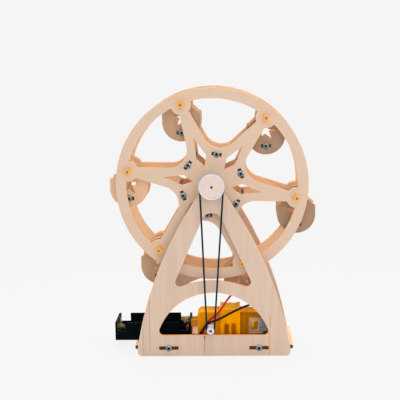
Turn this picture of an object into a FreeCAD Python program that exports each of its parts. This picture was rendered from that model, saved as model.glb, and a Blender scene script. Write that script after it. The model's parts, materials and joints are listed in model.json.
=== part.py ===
import FreeCAD, Part
import math
import os

# Desk-top ferris wheel kit: two plywood A-frames on a base plate carry a six-cabin wheel, which a
# geared motor turns through a round rubber belt. Millimetres. +Z is up, +X is to the right as seen
# from the pulley side, and the pulley side faces -Y. The origin is on the floor, below the wheel's
# axle and half way between the two frames.

# ---- sheet and fasteners ----
PLY = 3.0                    # thickness of every laser-cut plywood piece
JOINT_PLAY = 0.02            # gap on each side of a tab in its slot
BOLT_R = 1.25                # M2.5 pan-head bolts hold every tab joint
BOLT_LENGTH = 10.0
BOLT_HEAD_R = 2.5
BOLT_HEAD_HEIGHT = 1.6
RECESS_WIDTH = 0.6           # cross recess in the bolt heads
RECESS_SPAN = 2.6
RECESS_DEPTH = 0.9
THREAD_PLAY = 0.02           # gap between a bolt and what it is screwed into
NUT_WIDTH = 5.0
NUT_THICKNESS = 2.0
NUT_PLAY = 0.1
BOLT_CHANNEL_PLAY = 0.15
NUT_SETBACK = 4.5            # nut centre, from the shoulder of the tabs

# ---- shafts ----
ROD_R = 1.0                  # 2 mm steel rod, used for the axle and for the cabin shafts
RUNNING_PLAY = 0.08          # radial, where a rod turns in its hole
PRESS_PLAY = 0.01            # radial, where a piece is pushed tight onto a rod
CAP_R = 2.5                  # push-on caps and sleeves
CAP_LENGTH = 4.8
CAP_GAP = 0.15               # between a cap and the plate it runs against
ROD_RECESS = 0.3             # how far a rod's end stays inside its cap

# ---- wheel ----
WHEEL_R = 75.0
RIM_WIDTH = 8.15
SHAFT_INSET = 8.6            # from the rim's outside to the circle of cabin shafts
BOSS_R = 8.0                 # round boss at each cabin shaft
CABINS = 6
FIRST_SHAFT_DEG = -9.5       # angle of the first cabin shaft at rest, from +X towards +Z
WINDOW_FLANK_DEG = 38.3      # spoke edge, from the middle line of the window beside it
WINDOW_APEX = 20.3           # where the two spoke edges beside a window would meet
WINDOW_FILLET = 14.0
KITE_INNER, KITE_WIDE, KITE_OUTER = 15.3, 23.0, 38.4
KITE_HALF_WIDTH = 4.05
BRACE_CIRCLE_R = 24.0
BRACE_WIDTH = 16.0
BRACE_SLOT = 8.0
WHEEL_GAP = 35.0             # clear depth between the two wheel plates
SIDE_GAP = 7.0               # between a wheel plate and the frame beside it
SLEEVE_GAP = 0.2

# ---- cabins ----
CABIN_WIDTH = 30.0
CABIN_TOP = 5.7              # flat top of the cabin, below the shaft
CABIN_SIDE = 8.3             # straight part of the cabin's side
CABIN_CORNER = 2.3
CABIN_EAR_R = 8.3
CABIN_DEPTH = 27.0           # over both panels
SEAT_DROP = 22.2             # middle of the seat plate, below the shaft
SEAT_WIDTH = 21.0
STAR_DROP = 11.9
STAR_R = 8.2
STAR_WAIST = 0.382           # inner radius of a regular five-pointed star, as a share of the outer

# ---- stand ----
STAND_WIDTH = 120.0
BASE_OVERHANG = 2.0          # base plate beyond the frames at each end
BASE_UNDERSIDE = 5.0
BAR_HEIGHT = 16.6            # foot bar of a frame
FOOT_CORNER = 3.5
FRAME_HEAD_R = 8.5
FRAME_NECK = 5.3             # half width of the legs where they run into the head
LEG_BULGE = 8.5              # how far a leg's outer edge bows out from a straight line
LEG_FOOT_HEIGHT = 6.0
LEG_INSET = 14.4             # foot window, from the outside of the foot
FOOT_WINDOW_CENTRE = 5.2     # height of the centre of the foot window's arc
FOOT_WINDOW_CORNER = 3.5
CROSSBAR_DEPTH = 9.4
CROSSBAR_TOP_R = 73.0
HEAD_TO_WINDOW = 20.7        # from the axle down to the top of the upper window
WINDOW_TOP_R = 8.3
WINDOW_SPREAD = 33.0         # half width of the upper window at its foot
WINDOW_CORNER = 3.5
BASE_SLOT = 15.3
BASE_SLOT_INSET = 24.6       # slot centre, from the outside of the foot

# ---- geared motor ----
MOTOR_X = -2.2               # output shaft
GEARBOX_HEIGHT = 22.5
GEARBOX_DEPTH = 18.8
GEARBOX_REACH = 10.7         # from the shaft to the rounded end of the gearbox
GEARBOX_LENGTH = 38.9
GEARBOX_WALL = 1.6
GEARBOX_CORNER = 3.5
CAGE_LENGTH = 10.2
CAGE_HEIGHT = 21.2
CAGE_DEPTH = 18.0
MOTOR_SETBACK = 6.0          # gearbox face behind the front frame
TAB_LENGTH, TAB_HEIGHT, TAB_THICKNESS, TAB_HOLE_R = 5.5, 5.4, 1.6, 1.5
SHAFT_R = 2.7
SHAFT_FLAT = 1.85            # half distance over the flats
SHAFT_LENGTH = 9.2           # beyond each face of the gearbox
SHAFT_BORE_R = 1.0
SHAFT_NECK_R = 1.8           # where the middle gear passes the output shaft
SHAFT_NECK_PLAY = 0.5        # neck beyond each face of the middle gear
BEARING_OVERHANG = 0.5       # round part of the shaft, beyond the shell that it runs in
CAN_R = 10.0
CAN_FLAT = 7.5
CAN_LENGTH = 25.0
CAN_WALL = 0.8
CAN_BOSS_R = 3.0
END_CAP_THICKNESS = 1.6
END_CAP_SKIN = 0.4           # left over the end of the motor's own shaft
TERMINAL_DROP = 6.8          # terminals above and below the motor's axis
TERMINAL_LENGTH, TERMINAL_WIDTH, TERMINAL_THICKNESS = 3.4, 2.4, 0.5
STRAP_THICKNESS, STRAP_WIDTH = 0.8, 8.0
STRAP_PAD_LENGTH, STRAP_PAD_WIDTH = 10.9, 12.2
STRAP_START = 1.8            # strap's end on the cage, from the gearbox
STRAP_WINDOW_INSET = 1.2     # window, from the strap's end
STRAP_CORNER = 2.3
LUG_START = 3.3              # lug on the cage, from the gearbox
LUG_LENGTH, LUG_HEIGHT, LUG_DEPTH = 2.6, 5.6, 1.3
STRAP_WINDOW_LENGTH, STRAP_WINDOW_HEIGHT = 6.0, 7.0
SCREW_R = 1.0
SCREW_LENGTH = 14.0
SCREW_HEAD_R = 1.9
SCREW_HEAD_HEIGHT = 1.2
SCREW_POST_R = 1.9
SCREW_INSET = 3.0            # screw centre, from the gearbox's side walls

# ---- gear train inside the gearbox ----
GEAR_MODULE = 0.4
WHEEL_TEETH, PINION_TEETH = 36, 12
TOOTH_TIP, TOOTH_ROOT = 0.15, 0.45       # above and below the pitch circle
TOOTH_SHARE = 0.36           # share of the pitch that a tooth takes up at the pitch circle
TOOTH_TIP_SHARE, TOOTH_ROOT_SHARE = 0.7, 1.3     # tooth's width there, over that at the pitch circle
GEAR_WIDTH = 2.6
OUTPUT_GEAR_LEAD = 0.3       # front of the output gear, in front of the gearbox's middle
IDLER_LEAD = 0.5             # the same for the middle gear's small gear
IDLER_EXTRA_WIDTH = 0.4      # small gear wider than the gear it drives
IDLER_SETBACK = 1.0          # middle gear's large gear, behind the gearbox's front wall
IDLER_WHEEL_WIDTH = 2.0
CROWN_SETBACK = 0.7          # first gear's small gear, behind the same wall
CROWN_TEETH, ROTOR_TEETH = 34, 8
CROWN_R = 6.4                # middle of the crown gear's ring of teeth
CROWN_RING = 1.0
CROWN_DISC = 1.3
GEAR_POST_R = 0.9
ARMATURE_R = 6.3
ARMATURE_FRONT_GAP, ARMATURE_BACK_GAP = 4.0, 5.0     # armature, from the ends of the can
ROTOR_SHAFT_INSET = 0.2      # motor's own shaft, below the roots of its pinion

# ---- motor bracket ----
BRACKET_START, BRACKET_LENGTH = 18.0, 15.6    # from the gearbox's rounded end
BRACKET_FLOOR = 2.75
BRACKET_WALL = 2.5
BRACKET_ROOF = 3.1
BRACKET_RIDGE_WIDTH, BRACKET_RIDGE_HEIGHT = 1.7, 0.5
BRACKET_CHAMFER = 1.6
BRACKET_PLAY = 0.05
BRACKET_POCKET_WIDTH, BRACKET_POCKET_DEPTH = 3.7, 0.9
BRACKET_POCKET_SPACING = 5.5
BRACKET_POCKET_TOP = 16.2    # above the base plate
BRACKET_BOLT_SPACING = 14.0

# ---- belt drive ----
PULLEY_R = 9.9
PULLEY_WIDTH = 4.6
PULLEY_FACE_RECESS = 0.7
PULLEY_RIM = 0.9
PULLEY_HUB_R = 3.0
DRIVE_PULLEY_R = 2.9
BELT_R = 0.7
BELT_PLAY = 0.12
BELT_PITCH_R = 9.05          # radius of the belt's centre line on the large pulley
DRIVE_PITCH_R = 2.9          # the same on the small pulley
BELT_OFFSET = 5.0            # belt plane, in front of the front frame
PULLEY_LEAD = 2.3            # large pulley's face, in front of the belt plane
DRIVE_PULLEY_LEAD = 2.8
GRUB_SCREW_LENGTH = 6.0
GRUB_SCREW_DEPTH = 0.8

# ---- battery holder for two round cells, side by side ----
HOLDER_LENGTH = 60.8
HOLDER_DEPTH = 32.0
HOLDER_HEIGHT = 14.3
HOLDER_RIGHT = -18.8         # right end of the holder
HOLDER_SETBACK = 15.0        # front of the holder, behind the front frame
CELL_BAY_R = 7.3
BAY_SHIFT = 0.2              # bays, nearer to each other than the middle of each half
HOLDER_FLOOR = 1.5
HOLDER_END_WALL = 1.8
NOTCH_LENGTH = 7.6
NOTCH_SILL = 7.6             # height of the notched side walls
MID_RIB_HEIGHT = 9.0
CONTACT_WIDTH, CONTACT_HEIGHT, CONTACT_THICKNESS = 9.0, 9.6, 0.4
CONTACT_LIFT = 0.6           # contacts above the holder's floor
SPRING_R_WIDE, SPRING_R_TIP, SPRING_LENGTH, SPRING_WALL = 3.6, 2.2, 5.0, 0.6
HOLDER_BOLT_SPACING = 16.0

# ---- leads ----
LEAD_R = 0.8
BEND_REACH = 0.45            # share of the shorter run beside a corner that its arc takes up
RED_ROUTE = [
    (-18.8, -4.2, 10.0), (-15.8, -4.2, 10.0), (-13.2, -6.4, 9.9), (-12.6, -10.6, 9.8),
    (-13.0, -15.2, 9.8), (-13.5, -19.8, 10.0), (-11.8, -23.5, 12.0), (-8.9, -24.6, 15.8),
    (-7.4, -24.5, 20.7), (-5.2, -24.3, 25.6), (-1.0, -24.5, 29.3), (3.6, -25.3, 33.2),
    (7.2, -25.7, 38.2), (10.6, -25.7, 43.6), (14.9, -25.6, 48.9), (20.6, -25.5, 53.0),
    (27.4, -25.4, 55.6), (34.2, -25.0, 55.2), (40.0, -24.0, 51.6), (44.8, -22.8, 46.4),
    (49.2, -21.8, 40.9), (52.2, -20.8, 36.2), (53.9, -19.0, 31.8), (54.6, -15.9, 28.8),
    (54.6, -12.35, 28.8)]
BLACK_ROUTE = [
    (-18.8, -9.0, 10.3), (-16.8, -9.0, 10.3), (-15.2, -10.8, 10.2), (-14.9, -14.4, 10.0),
    (-15.6, -19.6, 10.3), (-14.1, -23.9, 12.4), (-11.0, -26.0, 16.2), (-8.3, -26.3, 20.6),
    (-5.6, -26.3, 24.6), (-1.4, -26.2, 26.5), (3.6, -26.0, 28.0), (9.6, -25.8, 31.2),
    (18.6, -25.7, 36.0), (28.6, -25.6, 40.2), (38.0, -25.0, 41.2), (45.4, -23.6, 38.2),
    (50.9, -22.8, 32.4), (54.2, -22.2, 25.0), (55.1, -20.5, 19.0), (54.6, -16.4, 15.2),
    (54.6, -12.35, 15.2)]

# ---- worked out from the sizes above ----
WHEEL_FACE = WHEEL_GAP / 2 + PLY                  # outer face of a wheel plate, from the middle
FRAME_BACK = WHEEL_FACE + SIDE_GAP                # inner face of a frame
FRAME_FACE = FRAME_BACK + PLY
BASE_TOP = BASE_UNDERSIDE + PLY
MOTOR_Z = BASE_TOP + BRACKET_FLOOR + GEARBOX_HEIGHT / 2
MOTOR_FRONT = -FRAME_BACK + MOTOR_SETBACK
MOTOR_BACK = MOTOR_FRONT + GEARBOX_DEPTH
MOTOR_Y = (MOTOR_FRONT + MOTOR_BACK) / 2
GEARBOX_LEFT = MOTOR_X - GEARBOX_REACH
GEARBOX_RIGHT = GEARBOX_LEFT + GEARBOX_LENGTH
CAGE_RIGHT = GEARBOX_RIGHT + CAGE_LENGTH
BRACKET_TOP = MOTOR_Z + GEARBOX_HEIGHT / 2 + BRACKET_ROOF
SHAFT_CIRCLE_R = WHEEL_R - SHAFT_INSET
CABIN_DROP = CABIN_TOP + CABIN_SIDE + CABIN_WIDTH / 2
CABIN_CLEARANCE = 2.8                             # lowest cabin above the motor bracket
AXLE_Z = BRACKET_TOP + CABIN_CLEARANCE + CABIN_DROP + SHAFT_CIRCLE_R
BELT_Y = -FRAME_FACE - BELT_OFFSET
BOLT_CHANNEL_HALF = BOLT_R + BOLT_CHANNEL_PLAY
SHANK_BEYOND_PLY = BOLT_LENGTH - PLY

Y_AXIS = FreeCAD.Vector(0, 1, 0)
X_AXIS = FreeCAD.Vector(1, 0, 0)
OVERRUN = 1.0                # how far a cutter runs past the face that it cuts


# ---- building blocks ----

def box(x0, x1, y0, y1, z0, z1):
    """A box between two corners."""
    return Part.makeBox(x1 - x0, y1 - y0, z1 - z0, FreeCAD.Vector(x0, y0, z0))


def rod_y(x, z, radius, y0, y1):
    """A round bar along Y."""
    return Part.makeCylinder(radius, y1 - y0, FreeCAD.Vector(x, y0, z), Y_AXIS)


def rod_x(y, z, radius, x0, x1):
    """A round bar along X."""
    return Part.makeCylinder(radius, x1 - x0, FreeCAD.Vector(x0, y, z), X_AXIS)


def rod_z(x, y, radius, z0, z1):
    """A round bar along Z."""
    return Part.makeCylinder(radius, z1 - z0, FreeCAD.Vector(x, y, z0))


def tube_y(x, z, outer, inner, y0, y1):
    """A round sleeve along Y."""
    return rod_y(x, z, outer, y0, y1).cut(rod_y(x, z, inner, y0 - OVERRUN, y1 + OVERRUN))


def outline(corners):
    """A closed wire in the XZ plane through (x, z, corner radius) points."""
    points = [FreeCAD.Vector(x, 0, z) for x, z, _ in corners]
    joints = []
    for i, (_, _, radius) in enumerate(corners):
        here, before, after = points[i], points[i - 1], points[(i + 1) % len(points)]
        back, ahead = (before - here).normalize(), (after - here).normalize()
        if radius == 0:
            joints.append((here, None, here))
            continue
        half = back.getAngle(ahead) / 2
        reach = radius / math.tan(half)
        middle = (back + ahead).normalize() * (radius / math.sin(half) - radius)
        joints.append((here + back * reach, here + middle, here + ahead * reach))
    edges = []
    for i, (start, middle, end) in enumerate(joints):
        if middle is not None:
            edges.append(Part.Arc(start, middle, end).toShape())
        following = joints[(i + 1) % len(joints)][0]
        if end.distanceToPoint(following) > 1e-6:
            edges.append(Part.LineSegment(end, following).toShape())
    return Part.Wire(edges)


def slab(corners, y0, y1):
    """A flat piece of the given outline, from y0 to y1."""
    face = Part.Face(outline(corners))
    face.translate(FreeCAD.Vector(0, y0, 0))
    return face.extrude(FreeCAD.Vector(0, y1 - y0, 0))


def about(shape, x, z, degrees):
    """A copy turned about a line along Y, from +X towards +Z."""
    copy = shape.copy()
    copy.rotate(FreeCAD.Vector(x, 0, z), Y_AXIS, -degrees)
    return copy


def moved(shape, x=0.0, y=0.0, z=0.0):
    """A shifted copy."""
    copy = shape.copy()
    copy.translate(FreeCAD.Vector(x, y, z))
    return copy


def mirrored_y(shape):
    """A copy mirrored front to back."""
    return shape.mirror(FreeCAD.Vector(0, 0, 0), Y_AXIS)


def group(solids):
    """Separate solids that share one node."""
    return Part.makeCompound(solids)


def polar(radius, degrees):
    """A point on a circle about the wheel's axle, as (x, z)."""
    angle = math.radians(degrees)
    return radius * math.cos(angle), AXLE_Z + radius * math.sin(angle)


# ---- fasteners and tab joints ----

def bolt(x, y, z, length=BOLT_LENGTH):
    """A pan-head bolt along +Y, with the underside of its head at y."""
    head = rod_y(x, z, BOLT_HEAD_R, y - BOLT_HEAD_HEIGHT, y)
    rim = [edge for edge in head.Edges if abs(edge.CenterOfMass.y - y + BOLT_HEAD_HEIGHT) < 1e-6]
    head = head.makeFillet(BOLT_HEAD_HEIGHT / 2, rim)
    for across in (False, True):
        half_x = RECESS_WIDTH / 2 if across else RECESS_SPAN / 2
        half_z = RECESS_SPAN / 2 if across else RECESS_WIDTH / 2
        front = y - BOLT_HEAD_HEIGHT
        head = head.cut(box(x - half_x, x + half_x, front - OVERRUN, front + RECESS_DEPTH,
                            z - half_z, z + half_z))
    return head.fuse(rod_y(x, z, BOLT_R, y, y + length)).removeSplitter()


def nut(x, y, z):
    """A square nut on a line along Y, centred at y."""
    half = NUT_WIDTH / 2
    body = box(x - half, x + half, y - NUT_THICKNESS / 2, y + NUT_THICKNESS / 2, z - half, z + half)
    return body.cut(rod_y(x, z, BOLT_R + THREAD_PLAY, y - NUT_THICKNESS, y + NUT_THICKNESS))


def joint_hardware(x, face, z):
    """The bolt and nut of one tab joint, for a plate whose outer face is at -face."""
    return [bolt(x, -face, z), nut(x, -face + PLY + NUT_SETBACK, z)]


def slotted(plate, x, z, length, face, degrees=0.0):
    """A plate with the slot for one tab joint; face is the distance of its far side from the middle."""
    half, high = length / 2, PLY / 2 + JOINT_PLAY
    cutter = box(x - half, x + half, -face - OVERRUN, face + OVERRUN, z - high, z + high)
    return plate.cut(about(cutter, x, z, degrees))


def tabbed(width, slot, z, shoulder):
    """A plate lying flat at height z between two plates, with tabs and nut pockets at both ends."""
    low, high = z - PLY / 2, z + PLY / 2
    half_tab = slot / 2 - JOINT_PLAY
    plate = box(-width / 2, width / 2, -shoulder, shoulder, low, high)
    plate = plate.fuse(box(-half_tab, half_tab, -shoulder - PLY, shoulder + PLY, low, high))
    return cut_nut_pockets(plate.removeSplitter(), 0.0, z, shoulder)


def cut_nut_pockets(plate, x, z, shoulder):
    """A tabbed plate with the bolt channels and nut pockets cut at both ends."""
    low, high = z - PLY, z + PLY
    pocket = NUT_WIDTH / 2 + NUT_PLAY
    depth = NUT_THICKNESS / 2 + NUT_PLAY
    channel_end = shoulder - SHANK_BEYOND_PLY - 2 * NUT_PLAY
    centre = shoulder - NUT_SETBACK
    channel = box(x - BOLT_CHANNEL_HALF, x + BOLT_CHANNEL_HALF,
                  -shoulder - PLY - OVERRUN, -channel_end, low, high)
    channel = channel.fuse(box(x - pocket, x + pocket, -centre - depth, -centre + depth, low, high))
    return plate.cut(channel).cut(mirrored_y(channel))


# ---- stand ----

def a_frame():
    """The front A-frame: head, two bowed legs, crossbar and foot bar, with its windows and slots."""
    front, back = -FRAME_FACE, -FRAME_BACK
    half = STAND_WIDTH / 2
    top = FreeCAD.Vector(FRAME_NECK, 0, AXLE_Z)
    foot = FreeCAD.Vector(half, 0, LEG_FOOT_HEIGHT)
    run = foot - top
    outward = FreeCAD.Vector(-run.z, 0, run.x).normalize()
    middle = top + run * 0.5 + outward * LEG_BULGE

    def flipped(point):
        return FreeCAD.Vector(-point.x, 0, point.z)

    corner = FOOT_CORNER
    slant = corner * (1 - math.sqrt(0.5))
    right_low, right_mid = FreeCAD.Vector(half, 0, corner), FreeCAD.Vector(half - slant, 0, slant)
    right_in = FreeCAD.Vector(half - corner, 0, 0)
    edges = [
        Part.LineSegment(flipped(right_in), right_in), Part.Arc(right_in, right_mid, right_low),
        Part.LineSegment(right_low, foot), Part.Arc(foot, middle, top),
        Part.LineSegment(top, flipped(top)), Part.Arc(flipped(top), flipped(middle), flipped(foot)),
        Part.LineSegment(flipped(foot), flipped(right_low)),
        Part.Arc(flipped(right_low), flipped(right_mid), flipped(right_in))]
    face = Part.Face(Part.Wire([edge.toShape() for edge in edges]))
    face.translate(FreeCAD.Vector(0, front, 0))
    frame = face.extrude(FreeCAD.Vector(0, PLY, 0))
    frame = frame.fuse(rod_y(0, AXLE_Z, FRAME_HEAD_R, front, back)).removeSplitter()
    frame = frame.cut(foot_window(front, back)).cut(upper_window(front, back))
    frame = frame.cut(rod_y(0, AXLE_Z, ROD_R + RUNNING_PLAY, front - OVERRUN, back + OVERRUN))
    for side in (-1, 1):
        x = side * (half - BASE_SLOT_INSET)
        frame = slotted(frame, x, BASE_UNDERSIDE + PLY / 2, BASE_SLOT, FRAME_FACE)
    return frame


def foot_window(front, back):
    """The low window: a disc cut off by the foot bar, with rounded corners."""
    radius = STAND_WIDTH / 2 - LEG_INSET
    disc = rod_y(0, FOOT_WINDOW_CENTRE, radius, front - OVERRUN, back + OVERRUN)
    window = disc.common(box(-radius, radius, front - OVERRUN, back + OVERRUN,
                             BAR_HEIGHT, FOOT_WINDOW_CENTRE + radius))
    return fillet_along_y(window, FOOT_WINDOW_CORNER, lambda x, z: z < BAR_HEIGHT + FOOT_WINDOW_CORNER)


def upper_window(front, back):
    """The tall window: straight sides under a round top, and a bowed crossbar below."""
    top = AXLE_Z - HEAD_TO_WINDOW
    crossbar = FOOT_WINDOW_CENTRE + STAND_WIDTH / 2 - LEG_INSET + CROSSBAR_DEPTH
    centre = crossbar - CROSSBAR_TOP_R
    corner_z = centre + math.sqrt(CROSSBAR_TOP_R ** 2 - WINDOW_SPREAD ** 2)
    apex = window_apex(top, corner_z)
    slope = WINDOW_SPREAD / (apex - corner_z)
    low = corner_z - 10
    wedge = slab([(0, apex, WINDOW_TOP_R), (slope * (low - apex), low, 0), (-slope * (low - apex), low, 0)],
                 front - OVERRUN, back + OVERRUN)
    window = wedge.cut(rod_y(0, centre, CROSSBAR_TOP_R, front - 2 * OVERRUN, back + 2 * OVERRUN))
    return fillet_along_y(window, WINDOW_CORNER, lambda x, z: z < corner_z + WINDOW_CORNER)


def window_apex(top, corner_z):
    """The height at which the upper window's sides would meet, for its round top to end at top."""
    apex = top + WINDOW_TOP_R
    for _ in range(40):
        half = math.atan2(WINDOW_SPREAD, apex - corner_z)
        apex = top + WINDOW_TOP_R * (1 / math.sin(half) - 1)
    return apex


def fillet_along_y(shape, radius, chosen):
    """A prism along Y with the chosen upright edges rounded; chosen tests an edge's x and z."""
    edges = [edge for edge in shape.Edges
             if abs(edge.tangentAt(edge.FirstParameter).y) > 0.99
             and chosen(edge.CenterOfMass.x, edge.CenterOfMass.z)]
    return shape.makeFillet(radius, edges)


def base_plate():
    """The base plate, joined to both frames by two pairs of tabs at each side."""
    half = STAND_WIDTH / 2 + BASE_OVERHANG
    middle = BASE_UNDERSIDE + PLY / 2
    plate = box(-half, half, -FRAME_BACK, FRAME_BACK, BASE_UNDERSIDE, BASE_TOP)
    half_tab = BASE_SLOT / 2 - JOINT_PLAY
    slots = [side * (STAND_WIDTH / 2 - BASE_SLOT_INSET) for side in (-1, 1)]
    for x in slots:
        plate = plate.fuse(box(x - half_tab, x + half_tab, -FRAME_FACE, FRAME_FACE, BASE_UNDERSIDE, BASE_TOP))
    plate = plate.removeSplitter()
    for x in slots:
        plate = cut_nut_pockets(plate, x, middle, FRAME_BACK)
    for x, y in bracket_bolt_places() + holder_bolt_places():
        plate = plate.cut(rod_z(x, y, BOLT_R + THREAD_PLAY, 0, BASE_TOP + OVERRUN))
    return plate


def bracket_bolt_places():
    """Where the two bolts come up through the base plate into the motor bracket's floor."""
    x = GEARBOX_LEFT + BRACKET_START + BRACKET_LENGTH / 2
    return [(x, MOTOR_Y + side * BRACKET_BOLT_SPACING / 2) for side in (-1, 1)]


def holder_bolt_places():
    """Where the two bolts go down through the floor of the battery holder's bays."""
    x = HOLDER_RIGHT - HOLDER_LENGTH / 2
    y = -FRAME_BACK + HOLDER_SETBACK + HOLDER_DEPTH / 2
    return [(x, y + side * HOLDER_BOLT_SPACING / 2) for side in (-1, 1)]


def upright(fastener, x, y, z, upwards):
    """A fastener made along +Y at the origin, stood on end at a point."""
    copy = fastener.copy()
    copy.rotate(FreeCAD.Vector(0, 0, 0), X_AXIS, 90 if upwards else -90)
    copy.translate(FreeCAD.Vector(x, y, z))
    return copy


def base_fasteners():
    """Bolts and nuts of the stand, of the motor bracket and of the battery holder."""
    solids = []
    for side in (-1, 1):
        x = side * (STAND_WIDTH / 2 - BASE_SLOT_INSET)
        pair = joint_hardware(x, FRAME_FACE, BASE_UNDERSIDE + PLY / 2)
        solids += pair + [mirrored_y(solid) for solid in pair]
    short = PLY + BRACKET_FLOOR - 2 * NUT_PLAY
    for x, y in bracket_bolt_places():
        solids.append(upright(bolt(0, 0, 0, short), x, y, BASE_UNDERSIDE, True))
    for x, y in holder_bolt_places():
        floor = BASE_TOP + HOLDER_FLOOR
        solids.append(upright(bolt(0, 0, 0, HOLDER_FLOOR + PLY + NUT_THICKNESS), x, y, floor, False))
        solids.append(upright(nut(0, 0, 0), x, y, BASE_UNDERSIDE - NUT_THICKNESS / 2, True))
    return group(solids)


# ---- wheel ----

def shaft_angles():
    """Angles of the cabin shafts at rest."""
    return [FIRST_SHAFT_DEG + 360 / CABINS * i for i in range(CABINS)]


def wheel_window(front, back):
    """The opening between the spoke at +X and the next one, drawn about its own middle line."""
    half_angle = math.radians(WINDOW_FLANK_DEG)
    far = WHEEL_R + 10
    spread = (far - WINDOW_APEX) * math.tan(half_angle)
    wedge = slab([(0, AXLE_Z + WINDOW_APEX, WINDOW_FILLET), (spread, AXLE_Z + far, 0),
                  (-spread, AXLE_Z + far, 0)], front - OVERRUN, back + OVERRUN)
    window = wedge.common(rod_y(0, AXLE_Z, WHEEL_R - RIM_WIDTH, front - OVERRUN, back + OVERRUN))
    for side in (-1, 1):
        x, z = polar(SHAFT_CIRCLE_R, 90 + side * 180 / CABINS)
        window = window.cut(rod_y(x, z, BOSS_R, front - 2 * OVERRUN, back + 2 * OVERRUN))
    return window


def wheel_plate():
    """The front wheel plate: rim, six spokes with kite-shaped cut-outs, and slots for the braces."""
    front, back = -WHEEL_FACE, -WHEEL_FACE + PLY
    plate = rod_y(0, AXLE_Z, WHEEL_R, front, back)
    window = wheel_window(front, back)
    kite = slab([(KITE_INNER, AXLE_Z, 0), (KITE_WIDE, AXLE_Z + KITE_HALF_WIDTH, 0), (KITE_OUTER, AXLE_Z, 0),
                 (KITE_WIDE, AXLE_Z - KITE_HALF_WIDTH, 0)], front - OVERRUN, back + OVERRUN)
    for angle in shaft_angles():
        between = angle + 180 / CABINS
        x, z = polar(SHAFT_CIRCLE_R, angle)
        plate = plate.cut(about(window, 0, AXLE_Z, between - 90))
        plate = plate.cut(about(kite, 0, AXLE_Z, angle))
        plate = plate.cut(rod_y(x, z, ROD_R + RUNNING_PLAY, front - OVERRUN, back + OVERRUN))
        x, z = polar(BRACE_CIRCLE_R, between)
        plate = slotted(plate, x, z, BRACE_SLOT, WHEEL_FACE, between - 90)
    return plate.cut(rod_y(0, AXLE_Z, ROD_R + PRESS_PLAY, front - OVERRUN, back + OVERRUN))


def around_hub(shape):
    """Copies of a shape, made above the axle, at the middle of every wheel window."""
    return [about(shape, 0, AXLE_Z, angle + 180 / CABINS - 90) for angle in shaft_angles()]


def wheel_braces():
    """The plates that hold the two wheel plates apart."""
    return group(around_hub(tabbed(BRACE_WIDTH, BRACE_SLOT, AXLE_Z + BRACE_CIRCLE_R, WHEEL_GAP / 2)))


def wheel_bolts():
    """Bolts and nuts of the wheel braces, at both sides."""
    pair = joint_hardware(0, WHEEL_FACE, AXLE_Z + BRACE_CIRCLE_R)
    solids = []
    for piece in pair + [mirrored_y(solid) for solid in pair]:
        solids += around_hub(piece)
    return group(solids)


def main_axle():
    """The steel rod that carries the wheel and its pulley."""
    return rod_y(0, AXLE_Z, ROD_R, BELT_Y - PULLEY_LEAD + ROD_RECESS + PULLEY_FACE_RECESS,
                 FRAME_FACE + CAP_GAP + CAP_LENGTH - ROD_RECESS)


def axle_sleeves():
    """Spacer sleeves between the wheel and the frames, and the cap behind the rear frame."""
    bore = ROD_R + PRESS_PLAY
    spacer = tube_y(0, AXLE_Z, CAP_R, bore, -FRAME_BACK + SLEEVE_GAP, -WHEEL_FACE)
    cap = tube_y(0, AXLE_Z, CAP_R, bore, FRAME_FACE + CAP_GAP, FRAME_FACE + CAP_GAP + CAP_LENGTH)
    return group([spacer, mirrored_y(spacer), cap])


# ---- belt drive ----

def belt_groove(x, z, pitch_r, outer_r):
    """The round-bottomed groove that the belt runs in."""
    half = BELT_R + BELT_PLAY
    ring = Part.makeTorus(pitch_r, half, FreeCAD.Vector(x, BELT_Y, z), Y_AXIS)
    return ring.fuse(tube_y(x, z, outer_r + OVERRUN, pitch_r, BELT_Y - half, BELT_Y + half))


def wheel_pulley():
    """The large pulley on the front end of the axle, with a dished face and a hub behind it."""
    front = BELT_Y - PULLEY_LEAD
    back = front + PULLEY_WIDTH
    body = rod_y(0, AXLE_Z, PULLEY_R, front, back)
    body = body.fuse(rod_y(0, AXLE_Z, PULLEY_HUB_R, back, -FRAME_FACE - SLEEVE_GAP)).removeSplitter()
    body = body.cut(rod_y(0, AXLE_Z, PULLEY_R - PULLEY_RIM, front - OVERRUN, front + PULLEY_FACE_RECESS))
    body = body.cut(belt_groove(0, AXLE_Z, BELT_PITCH_R, PULLEY_R))
    return body.cut(rod_y(0, AXLE_Z, ROD_R + PRESS_PLAY, front - OVERRUN, 0))


def shaft_end():
    """Front end of the motor's output shaft."""
    return MOTOR_FRONT - SHAFT_LENGTH


def drive_pulley():
    """The small pulley, held against the end of the output shaft by a screw through its middle."""
    body = rod_y(MOTOR_X, MOTOR_Z, DRIVE_PULLEY_R, BELT_Y - DRIVE_PULLEY_LEAD, shaft_end())
    body = body.cut(belt_groove(MOTOR_X, MOTOR_Z, DRIVE_PITCH_R, DRIVE_PULLEY_R))
    return body.cut(rod_y(MOTOR_X, MOTOR_Z, SHAFT_BORE_R, BELT_Y - 10, 0))


def pulley_screw():
    """The headless screw that joins the small pulley to the output shaft."""
    front = BELT_Y - DRIVE_PULLEY_LEAD + GRUB_SCREW_DEPTH
    return rod_y(MOTOR_X, MOTOR_Z, SHAFT_BORE_R - THREAD_PLAY, front, shaft_end() + GRUB_SCREW_LENGTH)


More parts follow.
